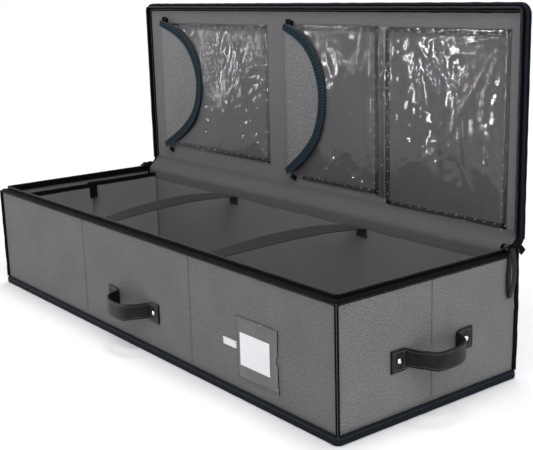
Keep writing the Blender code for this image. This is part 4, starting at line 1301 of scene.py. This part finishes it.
def label_pocket():
    """A clear sheet sewn down on three sides, with a mouth that stands off the wall and a black
    strip along it that is painted shadow of the open gap.
    """
    low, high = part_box("label_window")
    x0, x1, z0, z1, back = low.x, high.x, low.z, high.z, high.y

    def shares(u, v):
        return (u - x0) / (x1 - x0), (v - z0) / (z1 - z0)

    def gap(u, v):
        """How far the sheet stands off the cover."""
        share, rise = shares(u, v)
        mouth = hump(share, 1, 0.07)
        held = ease(share, 0, 0.05) * within(rise, 0.05)
        wave = 0.0013 * hump(rise, 0.30, 0.20) * mouth * within(rise, 0.1)
        lift = held * (0.0010 + 0.0003 * ripple(u, v, 0.035, 121)) + wave + 0.0004 * mouth
        return np.maximum(lift, 0)

    def edge(u, v):
        """The loose mouth buckles inward halfway up."""
        share, rise = shares(u, v)
        buckle = 0.0052 * hump(rise, 0.53, 0.055) + 0.0014 * ease(rise, 0.53, 0.60)
        return u - buckle * ease(share, 0.85, 1)

    def place(u, v, thick):
        return at(edge(u, v), back - 0.0002 - gap(u, v) - thick, v)

    us, vs = steps(x0, x1, 0.0018), steps(z0, z1, 0.0020)
    sheet = slab("label_sheet", us, vs, place, 0.0004, 0, "label vinyl")
    settle(sheet, "case", "clear_sheet", "label_window", flat=(x1 - x0, z1 - z0))
    inset = 0.0012
    xs = (x1 - 0.001, x0 + inset, x0 + inset, x1 - 0.001)
    corners = at(xs, back - 0.0006, (z1 - inset, z1 - inset, z0 + inset, z0 + inset))
    rows = [corners[place : place + 2] for place in range(3)]
    section = oval(0.0016, 0.0008, 0.6, 12)
    welt = [carry("welt", resample(row, 0.004), FRONT, section, "cover cloth") for row in rows]
    settle(merged("label_seam", welt), "case", "cover_fabric")
    top = [resample(rows[0] + (0, -0.0005, 0), 0.001)]
    look = {"pitch": 0.0030, "share": 1.1, "width": 0.0011}
    sew("label_stitches", top, FRONT, "case", "cover_fabric", 15, **look)
    mouth = np.linspace(z0 + 0.001, z1 - 0.001, 46)
    path = at(edge(x1, mouth), back - 0.0004 - gap(x1, mouth), mouth)
    rise = (mouth - z0) / (z1 - z0)
    # A black strip along the mouth, wider where it gapes: painted shadow of the gap under the loose
    # edge, not a binding.
    wide = 0.0008 + 0.0010 * hump(rise, 0.28, 0.16) + 0.0006 * ease(rise, 0.6, 0.8)
    mouth_shadow = carry("label_mouth_shadow", path, FRONT, oval(wide, 0.0010, 0.8, 12), "black tape")
    settle(mouth_shadow, "case", "black_tape")


def label_card():
    low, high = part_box("label_card")
    middle = (low.x + high.x) / 2

    def place(u, v, y):
        bow = 0.00025 * ((u - middle) / (high.x - middle)) ** 2
        return at(u, y - (bow + 0.00008 * ripple(u, v, 0.03, 131)), v)

    us, vs = steps(low.x, high.x, 0.004), steps(low.z, high.z, 0.004)
    card = slab("paper_card", us, vs, place, low.y, high.y, "card")
    settle(card, "label_card", "card_paper", "label_card")


def side_tab():
    """A small woven tab, sewn down at both sides, whose face is pulled in at its middle."""
    low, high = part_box("side_tab")
    middle = (low.z + high.z) / 2

    def arc(u):
        return np.sin(math.pi * ((u - low.x) / (high.x - low.x)))

    def face(u, v):
        curl = 0.0004 * arc(u) + 0.0005 * hump(v, high.z, 0.002)
        return low.y - (curl + 0.0002 * ripple(u, v, 0.01, 133))

    def place(u, v, y):
        pull = 0.10 * arc(u) * (y < high.y)
        return at(u, y, middle + (v - middle) * (1 - pull))

    us, vs = steps(low.x, high.x, 0.0016), steps(low.z, high.z, 0.0016)
    tab = slab("woven_tab", us, vs, place, face, high.y, "tab cloth")
    settle(tab, "case", "tab_fabric", "side_tab")
    lines = []
    for x in (low.x + 0.0020, high.x - 0.0020):
        lines.append(resample(at(x, low.y - 0.0004, (low.z + 0.001, high.z - 0.001)), 0.0005))
    look = {"material": "grey thread", "pitch": 0.0022, "width": 0.0005}
    sew("tab_stitches", lines, FRONT, "case", "tab_fabric", 17, **look)


class GIFTCASE_OT_label(bpy.types.Operator):
    """Clear label pocket on the front, its card and the small woven tab beside it"""

    bl_idname = "gift_case.label"
    bl_label = "Label pocket"

    def execute(self, context):
        label_pocket()
        label_card()
        side_tab()
        return {"FINISHED"}


# Pieces of the lid

# Sections of the lid's tape and of the piping under its edge, as (inset, height)
LID_BACK = -0.0195
LID_SECTION = (
    (0.0080, LID_BACK + 0.0002), (0.0082, LID_BACK - 0.0010), (0.0050, LID_BACK - 0.0016),
    (0.0022, LID_BACK - 0.0013), (0.0004, LID_BACK + 0.0008), (0.0002, LID_BACK + 0.0035),
    (0.0013, -0.0142), (0.0024, -0.0126), (0.0060, -0.0121), (0.0096, -0.0123),
    (0.0128, -0.0120), (0.0150, -0.0127), (0.0154, -0.0133), (0.0148, -0.0138),
    (0.0030, -0.0137), (0.0027, LID_BACK + 0.0005),
)
PIPING_SECTION = [
    (0.0032 + 0.0024 * math.cos(turn), -0.0128 + 0.0024 * math.sin(turn))
    for turn in np.linspace(0, 2 * math.pi, 12, endpoint=False)
]


def lid_width(v, radius=0.015, edge=0.003):
    """Half the width of the lid at a height, less at its rounded far corners."""
    above = np.clip(v - (LID_FAR - edge - radius), 0, radius)
    return HALF_LENGTH - edge - radius + np.sqrt(np.clip(radius**2 - above**2, 0, None))


def lid_sheet(node, face, other, material, seed, slot, puff):
    """A cloth of the lid, from its hinge edge to its rounded far corners."""
    toward = 1 if face > other else -1
    span, rise = (-HALF_LENGTH, HALF_LENGTH), (LID_LOW, LID_FAR)

    def relief(u, v):
        x = u * lid_width(v)
        return face + toward * cloth_relief(x, v, span, rise, FRONT_FOLDS, seed, puff, 0.0008)

    def place(u, v, height):
        return on_lid(u * lid_width(v), v, height)

    us = steps(-1, 1, 0.013, [fold / HALF_LENGTH for fold in FRONT_FOLDS], 0.0012, 0.006)
    vs = steps(LID_LOW, LID_FAR - 0.003, 0.007, (LID_FAR - 0.004, LID_FAR - 0.010), 0.0012, 0.004)
    thing = slab(node + "_cloth", us, vs, place, relief, other, material)
    reshape_flat(thing, lambda u, v: u * HALF_LENGTH)
    flat = (2 * HALF_LENGTH - 0.006, LID_FAR - LID_LOW - 0.003)
    settle(thing, "lid", slot, node, flat=flat)


class GIFTCASE_OT_lid(bpy.types.Operator):
    """Cloth, lining and binding of the lid"""

    bl_idname = "gift_case.lid"
    bl_label = "Lid"

    def execute(self, context):
        lid_sheet("lid_cover", -0.0190, -0.0180, "cover cloth", 141, "cover_fabric", 0.0008)
        lid_sheet("lid_lining", LID_FACE, -0.0150, "lining cloth", 143, "lining_fabric", 0.0004)
        rail = Rail("lid", 0.018, LID_LOW)
        for name, section, material, wave, seed in (
            ("lid_tape", LID_SECTION, "black tape", 0.00025, 151),
            ("lid_piping", PIPING_SECTION, "base tape", 0.0002, 153),
        ):
            tape = sweep(name, section, rail, material, wave, seed)
            settle(tape, "lid", "black_tape", "lid_binding")
        # The lighter thread along the tape is partly stitching, partly a painted highlight line.
        look = {"material": "edge thread", "share": 0.8, "width": 0.0009}
        line = rail.line(0.0124, -0.0119)
        sew("lid_stitches", [line], FRONT, "lid", "black_tape", 19, **look)
        line = rail.line(0.0062, LID_BACK - 0.0017)
        sew("lid_back_stitches", [line], BACK, "lid", "black_tape", 21)
        return {"FINISHED"}


# Paths of the hinge's cloth from the wall to the lid, as (y, z)
HINGE_INSIDE = (
    (0.1664, 0.174), (0.1664, 0.183), (0.1666, 0.1892), (0.1682, 0.1938),
    (0.1724, 0.1988), (0.1790, 0.2042), (0.1848, 0.2102), (0.1886, 0.2185),
)
HINGE_OUTSIDE = (
    (0.1724, 0.172), (0.1732, 0.182), (0.1750, 0.1905), (0.1805, 0.1962),
    (0.1885, 0.1990), (0.1940, 0.2040), (0.1949, 0.2110), (0.1948, 0.2190),
)


def over_hinge(thing, slot, *nodes):
    """Fixes a piece that spans the hinge where it stands and hides the nodes that it stands for."""
    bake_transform(thing)
    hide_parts(*nodes)


def hinge_strip(name, path, material, slot, seed, *nodes):
    """One cloth of the hinge, the whole width of the lid."""
    half = HALF_LENGTH - 0.007
    run = run_along(path)
    slope = tangents(path)
    normal = at(-slope[:, 1], slope[:, 0])

    def place(u, v, offset):
        lift = offset + 0.0004 * ripple(u, v, 0.05, seed) * np.sin(math.pi * (v / run[-1]))
        y, z = np.moveaxis(follow(path, run, v) + follow(normal, run, v) * lift[..., None], -1, 0)
        return at(u, y, z)

    strip = slab(name, steps(-half, half, 0.010), run, place, 0.0004, -0.0004, material)
    over_hinge(strip, slot, *nodes)


class GIFTCASE_OT_hinge(bpy.types.Operator):
    """The cloth that joins the lid to the back wall, inside and outside"""

    bl_idname = "gift_case.hinge"
    bl_label = "Hinge cloth"

    def execute(self, context):
        inside, outside = eased_path(HINGE_INSIDE, 5), eased_path(HINGE_OUTSIDE, 5)
        strip, rim = "lid_hinge_strip", "rim_binding"
        section = oval(0.0118, 0.0090, 0.5, 20)
        for end, side in ENDS:
            path = at(side * (HALF_LENGTH - 0.0058), *((inside + outside) / 2)[4:].T)
            edge = carry("hinge_edge_" + end, path, (side, 0, 0), section, "black tape")
            over_hinge(edge, "black_tape", strip)
        # The inner strip takes the darkened lining cloth: painted shade at the foot of the lid.
        hinge_strip("hinge_lining", inside, "hinge cloth", "lining_fabric", 161, strip, rim)
        hinge_strip("hinge_cover", outside, "cover cloth", "cover_fabric", 163, strip)
        return {"FINISHED"}


# The outline of a flap, as (share of its height, share of its reach)
FLAP_SHARES = (
    (0, 0), (0.06, 0.24), (0.15, 0.54), (0.27, 0.81), (0.40, 0.95), (0.54, 1.0),
    (0.66, 0.96), (0.78, 0.84), (0.88, 0.64), (0.95, 0.36), (1.0, 0),
)
# Folds at the two ends of a flap's tape, from its first and from its last point
FLAP_TUCKS = (
    ((0.010, -0.006), (0.016, -0.008), (0.022, -0.009)),
    ((0.004, 0.006), (0.013, 0.006), (0.023, 0.003)),
)
# Wrinkles of the right window: (angle, near, far) from its upper right corner, and
# (share of the width, top, foot) of those that hang from its upper edge
FAN_CREASES = (
    (196, 0.02, 0.07), (208, 0.01, 0.09), (222, 0.01, 0.13), (236, 0.02, 0.20), (252, 0.02, 0.12),
)
HANGING_CREASES = ((0.30, 0.05, 0.20), (0.47, 0.06, 0.23), (0.66, 0.11, 0.24), (0.86, 0.14, 0.26))


def creases(box, name, seed):
    """Wrinkle lines that run in from the corners and edges of a sheet: ends, width, height."""
    x0, x1, v0, v1 = box
    draw = np.random.default_rng(seed)
    found = []
    if name == "right":
        fan = np.array([x1 - 0.012, v1 - 0.010])
        for angle, near, far in FAN_CREASES:
            way = np.array([math.cos(math.radians(angle)), math.sin(math.radians(angle))])
            found.append((fan + way * near, fan + way * far, 0.0040, 1.8))
        for share, top, foot in HANGING_CREASES:
            head = np.array([x0 + (x1 - x0) * share, v1 - top])
            found.append((head, np.array([head[0] + 0.012, v1 - foot]), 0.0060, 1.6))
    middle = np.array([(x0 + x1) / 2, (v0 + v1) / 2])
    for _ in range(30):
        corner = draw.integers(0, 4)
        start = np.array([x1 if corner % 2 else x0 + (x1 - x0) * 0.4, v1 if corner // 2 else v0])
        start = start + draw.uniform(-0.05, 0.05, 2)
        angle = draw.uniform(0.55, 1.35) * (1 if corner in (0, 3) else -1)
        reach = draw.uniform(0.03, 0.11)
        way = np.array([math.cos(angle), math.sin(angle)])
        if (middle - start) @ way < 0:
            way = -way
        end = start + way * reach
        found.append((start, end, draw.uniform(0.0022, 0.0050), draw.uniform(0.3, 1.0)))
    return found


def pocket_window(name, seed):
    """A clear sheet puffed off the lid and wrinkled, with sewn hems on its cut sides."""
    wrinkle = bpy.context.scene.gift_case_hardware.wrinkle
    node = name + "_pocket_window"
    low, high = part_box(node)
    x0, x1 = low.x + (0.0 if name == "right" else 0.005), high.x
    v0, v1 = low.z - HINGE_Z, high.z - HINGE_Z
    foot, face = HINGE_Y - high.y, HINGE_Y - low.y
    box = (x0, x1, v0, v1)
    lines = creases(box, name, seed)

    def height(u, v):
        edge = edge_gap(u, v, box)
        body = foot + 0.0010 + (face - foot - 0.0014) * ease(edge, 0.002, 0.012)
        relief = 0.5 * ripple(u, v, 0.07, seed) + 0.22 * ripple(u, v, 0.02, seed + 1)
        for start, end, width, lift in lines:
            along = end - start
            from_u, from_v = u - start[0], v - start[1]
            share = np.clip((from_u * along[0] + from_v * along[1]) / (along @ along), 0, 1)
            reach = np.hypot(from_u - along[0] * share, from_v - along[1] * share)
            crest = lift * hump(reach, 0, width)
            relief = relief + crest * np.sin(math.pi * np.clip(share, 0.04, 0.96))
        return body + wrinkle * relief * ease(edge, 0.004, 0.02) * 0.8

    us, vs = steps(x0, x1, 0.0021), steps(v0, v1, 0.0021)
    sheet = slab(
        name + "_clear_pocket", us, vs, on_lid, height, lambda u, v: height(u, v) - 0.0003,
        "clear vinyl", 180,
    )
    settle(sheet, "lid", "clear_sheet", node, flat=(x1 - x0, v1 - v0))
    start = x0 + (0.0 if name == "right" else 0.035)
    corners = np.array([(start, v1), (x1, v1), (x1, v0), (start, v0)])
    parts, rows, edges = [], [], []
    width = 0.0085
    for place in range(4 if name == "right" else 3):
        a, b = corners[place], corners[(place + 1) % 4]
        way = unit(b - a)
        inner = np.array([way[1], -way[0]]) * width
        line = resample([a, b], 0.003) + inner * 0.5
        run = np.linalg.norm(line - line[0], axis=1)
        lift = foot + 0.0010 + 0.0003 * ripple(run, 0, 0.012, seed + place)
        section = oval(width, 0.0007, 0.3, 14)
        parts.append(carry("hem", on_lid(*line.T, lift), FRONT, section, "hem vinyl"))
        rows.append(on_lid(*(line + inner * 0.28).T, lift + 0.0030))
        edges.append(on_lid(*(line - inner * 0.46).T, lift + 0.0001))
    settle(merged(name + "_pocket_hem", parts), "lid", "clear_sheet")
    # Sparse pale thread dots along the hems: partly stitches, partly painted glints of the wrinkled
    # hem.
    look = {"material": "pale thread", "pitch": 0.019, "share": 0.15, "width": 0.0010}
    where = (FRONT, "lid", "clear_sheet", seed)
    sew(name + "_pocket_glint_stitches", rows, *where, **look, wobble=0.35)
    # A continuous black line along each hem's outer edge, sewn as black thread: painted shadow
    # line.
    look = {"pitch": 0.0040, "share": 1.05, "width": 0.0012}
    sew(name + "_pocket_shadow_line", edges, *where, **look)


def flap(name, low, top_margin, reach, seed):
    """A D of coarse cloth beside a window, its round edge bound with a ribbed tape."""
    start = corner_low(name + "_pocket_window").x
    high = LID_FAR - top_margin
    rise = high - low
    line = eased_path([(start + reach * out, low + rise * up) for up, out in FLAP_SHARES], 16)
    over = LID_FACE + 0.0106
    inner, hem = 0.004, 0.002
    levels = np.linspace(low, high, 400)
    edge_x = np.interp(levels, line[:, 1], line[:, 0])

    def width(v):
        return np.interp(v, levels, edge_x) - inner - start

    def place(u, v, height):
        x = start - hem + (width(v) + hem) * u
        belly = np.sin(math.pi * np.clip((v - low) / rise, 0, 1))
        body = 0.0004 * ripple(x, v, 0.05, seed) - 0.0032 * ease(u, 0.45, 1.0) * belly
        sink = 0.0085 * (1 - ease(u * width(v), 0.0, 0.016))
        return on_lid(x, v, height + body - sink)

    us, vs = np.linspace(0, 1, 44), steps(low + 0.006, high - 0.006, 0.004)
    cloth = slab(name + "_flap_cloth", us, vs, place, over, over - 0.0009, "flap cloth")
    reshape_flat(cloth, lambda u, v: start + u * width(v))
    widths = width(vs) + hem
    area = float(((widths[1:] + widths[:-1]) / 2 * np.diff(vs)).sum())
    flat = (reach - inner + hem, rise - 0.012)
    settle(cloth, "lid", "cover_fabric", name + "_pocket_flap", flat=flat, area=area)
    seam = on_lid(start + 0.0022, np.linspace(low + 0.012, high - 0.012, 60), over - 0.0076)
    look = {"pitch": 0.0050, "share": 0.5, "width": 0.0008}
    sew(name + "_flap_seam", [seam], FRONT, "lid", "cover_fabric", seed, **look)
    run = run_along(line)
    pitch = bpy.context.scene.gift_case_trim.rib * ARC_RIB
    fine = np.arange(0.006, run[-1] - 0.006, pitch / 6)
    flat_line = follow(line, run, fine)
    belly = np.sin(math.pi * np.clip((flat_line[:, 1] - low) / rise, 0, 1))
    path = on_lid(*flat_line.T, over + 0.0005 - 0.0030 * belly)
    ribs = 0.5 - 0.5 * np.cos(2 * math.pi * (fine - fine[0]) / pitch)
    ends = 1 - 0.35 * np.exp(-fine / 0.022) - 0.35 * np.exp(-(run[-1] - fine) / 0.022)
    section = oval(0.0165 * ends, 0.0011 + 0.0010 * ribs, 0.22, 20)
    band = carry(name + "_arc_tape", path, FRONT, section, "arc tape", False, 60)
    settle(band, "lid", "blue_black_tape", name + "_pocket_flap_tape")
    side, out = frames_along(path, FRONT)
    reach_of_row = side * (0.0070 * ends)[:, None]
    rows = [(path + reach_of_row * way + out * 0.0010)[4:-4] for way in (-1, 1)]
    look = {"pitch": 0.0040, "share": 0.9, "width": 0.0011}
    sew(name + "_arc_stitches", rows, FRONT, "lid", "blue_black_tape", seed, **look)
    folds = []
    for end, spots in zip((line[0], line[-1]), FLAP_TUCKS):
        path = on_lid(*eased_path(end + np.array(spots), 6).T, LID_FACE + 0.0022)
        folds.append(carry("fold", path, FRONT, oval(0.009, 0.0030, 0.5, 14), "black tape"))
    settle(merged(name + "_flap_tucks", folds), "lid", "black_tape")


def pocket_divider():
    """The sewn strip between the middle and the right pocket."""
    low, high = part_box("right_pocket_window")
    x0, x1 = corner_high("middle_pocket_window").x, low.x
    middle = (x0 + x1) / 2

    def height(u, v):
        crown = 0.0006 * np.cos(np.clip((u - middle) / (x1 - x0) * math.pi, -1.5, 1.5))
        return LID_FACE + 0.0016 + crown + 0.0004 * ripple(u, v, 0.012, 191)

    us = steps(x0 - 0.001, x1 + 0.001, 0.0012)
    vs = steps(low.z - HINGE_Z + 0.010, high.z - HINGE_Z, 0.004)
    foot = LID_FACE + 0.0004
    # The strip is hem vinyl, whose dark tint is partly painted shade.
    strip = slab("pocket_divider", us, vs, on_lid, height, foot, "hem vinyl")
    settle(strip, "lid", "clear_sheet")
    rows = [on_lid(x, vs, height(x, vs) + 0.0002) for x in (x0 + 0.003, x1 - 0.003)]
    look = {"material": "pale thread", "pitch": 0.0056, "share": 0.36}
    sew("divider_stitches", rows, FRONT, "lid", "clear_sheet", 23, **look)


class GIFTCASE_OT_pockets(bpy.types.Operator):
    """Clear pockets of the lid, their cloth flaps and the sewn strip between two of them"""

    bl_idname = "gift_case.pockets"
    bl_label = "Lid pockets"

    def execute(self, context):
        for name, seed in (("left", 171), ("middle", 173), ("right", 175)):
            pocket_window(name, seed)
        flap("left", 0.049, 0.038, 0.138, 181)
        flap("middle", 0.042, 0.039, 0.104, 183)
        pocket_divider()
        return {"FINISHED"}


# Stage

# Suns: strength, softness and the direction that they shine from
SUNS = {
    "key": (1.15, 0.75, (0.85, -0.40, 0.95)),
    "overhead": (0.95, 0.28, (-0.10, 0.16, 1.0)),
}
# Panels that glint in the clear sheets: place, size and power
GLINTS = {
    "left strip": ((-1.90, -1.45, 0.80), (0.04, 1.30), 9),
    "far strip": ((-2.60, -1.45, 0.35), (0.04, 0.60), 2.5),
    "low strip": ((-1.12, -1.45, 0.25), (0.04, 0.44), 4),
    "front strip": ((-1.60, -2.10, 0.95), (0.05, 1.20), 11),
}


def lamp(name, kind, energy, toward):
    """A lamp that shines against a direction."""
    data = bpy.data.lights.new(name, kind)
    data.energy = energy
    thing = put(name, data)
    thing.rotation_euler = Vector(toward).to_track_quat("Z", "Y").to_euler()
    return thing


def panel(name, place, target, size, power):
    thing = lamp(name, "AREA", power, Vector(place) - Vector(target))
    thing.location = place
    thing.data.shape = "RECTANGLE"
    thing.data.size, thing.data.size_y = size
    return thing


def make_camera(scene, lens):
    data = bpy.data.cameras.new("camera")
    data.lens = lens
    data.sensor_width = 36
    data.shift_x = -0.0040
    data.clip_end = 60
    azimuth, elevation, roll = map(math.radians, (52.45, 13.43, -1.67))
    level = math.cos(elevation)
    forward = Vector(
        (-math.sin(azimuth) * level, math.cos(azimuth) * level, -math.sin(elevation))
    )
    right = forward.cross(Vector(UP)).normalized()
    up = right.cross(forward)
    turned_right = math.cos(roll) * right + math.sin(roll) * up
    turned_up = math.cos(roll) * up - math.sin(roll) * right
    turned = Matrix((turned_right, turned_up, -forward)).transposed().to_4x4()
    scene.camera = put("camera", data)
    scene.camera.matrix_world = Matrix.Translation((1.402, -0.966, 0.579)) @ turned


def make_floor(colour_value):
    look = Look("pale floor", Roughness=0.8, Specular_IOR_Level=0.1)
    look.shader["Base Color"].default_value = (*colour_value, 1)
    look.shader["Emission Color"].default_value = (1, 1, 1, 1)
    look.feed(look.shader["Emission Strength"], look.calc("MULTIPLY", look.seen_ray(), 0.04))
    mesh = bpy.data.meshes.new("floor")
    far = 30
    corners = [(-far, -far, 0), (far, -far, 0), (far, far, 0), (-far, far, 0)]
    mesh.from_pydata(corners, [], [(0, 1, 2, 3)])
    mesh.materials.append(look.material)
    floor = put("floor", mesh)
    floor.location.z = -0.0003


def make_light(scene, strength):
    """An even sky that is white where it is seen, two suns and the panels."""
    world = bpy.data.worlds.new("studio")
    world.use_nodes = True
    scene.world = world
    nodes = Nodes(world.node_tree)
    sky = world.node_tree.nodes["Background"].inputs
    sky["Color"].default_value = (1, 1, 1, 1)
    level = nodes.calc("MULTIPLY_ADD", nodes.seen_ray(), 1 - strength, strength)
    nodes.feed(sky["Strength"], level)
    for name, (energy, angle, toward) in SUNS.items():
        lamp(name, "SUN", energy, toward).data.angle = angle
    panel("top strip", (0.6, -0.9, 2.3), (0.1, 0.1, 0.2), (1.4, 0.2), 8)
    for name, (place, size, power) in GLINTS.items():
        panel(name, place, (0.1, 0.18, 0.36), size, power).visible_diffuse = False


class GIFTCASE_OT_stage(bpy.types.Operator):
    """Pale floor, soft lamps and the camera"""

    bl_idname = "gift_case.stage"
    bl_label = "Stage"

    def execute(self, context):
        scene = context.scene
        stage = scene.gift_case_stage
        scene.view_settings.view_transform = "Standard"
        make_camera(scene, stage.lens)
        make_floor(stage.floor)
        make_light(scene, stage.world)
        return {"FINISHED"}


class GIFTCASE_PT_panel(bpy.types.Panel):
    """Builds the pieces of the gift wrap case one by one"""

    bl_idname = "GIFTCASE_PT_panel"
    bl_label = "Gift wrap case"
    bl_space_type = "VIEW_3D"
    bl_region_type = "UI"
    bl_category = "Gift case"

    def draw(self, context):
        for name in GROUPS:
            group = getattr(context.scene, name)
            box = self.layout.box()
            for key in group.__annotations__:
                box.prop(group, key)
        for operator in OPERATORS:
            self.layout.operator(operator.bl_idname)


GROUPS = {
    "gift_case_cloth": GiftCaseCloth,
    "gift_case_trim": GiftCaseTrim,
    "gift_case_hardware": GiftCaseHardware,
    "gift_case_stage": GiftCaseStage,
}
OPERATORS = (
    GIFTCASE_OT_walls,
    GIFTCASE_OT_boards,
    GIFTCASE_OT_lining,
    GIFTCASE_OT_end_pockets,
    GIFTCASE_OT_bindings,
    GIFTCASE_OT_zipper,
    GIFTCASE_OT_straps,
    GIFTCASE_OT_handles,
    GIFTCASE_OT_label,
    GIFTCASE_OT_lid,
    GIFTCASE_OT_hinge,
    GIFTCASE_OT_pockets,
    GIFTCASE_OT_stage,
)


def register():
    for name, group in GROUPS.items():
        bpy.utils.register_class(group)
        setattr(bpy.types.Scene, name, bpy.props.PointerProperty(type=group))
    for thing in (*OPERATORS, GIFTCASE_PT_panel):
        bpy.utils.register_class(thing)


def unregister():
    for thing in (GIFTCASE_PT_panel, *reversed(OPERATORS)):
        bpy.utils.unregister_class(thing)
    for name, group in reversed(GROUPS.items()):
        delattr(bpy.types.Scene, name)
        bpy.utils.unregister_class(group)


def main():
    register()
    for operator in OPERATORS:
        group, name = operator.bl_idname.split(".")
        getattr(getattr(bpy.ops, group), name)()


if __name__ == "__main__":
    main()
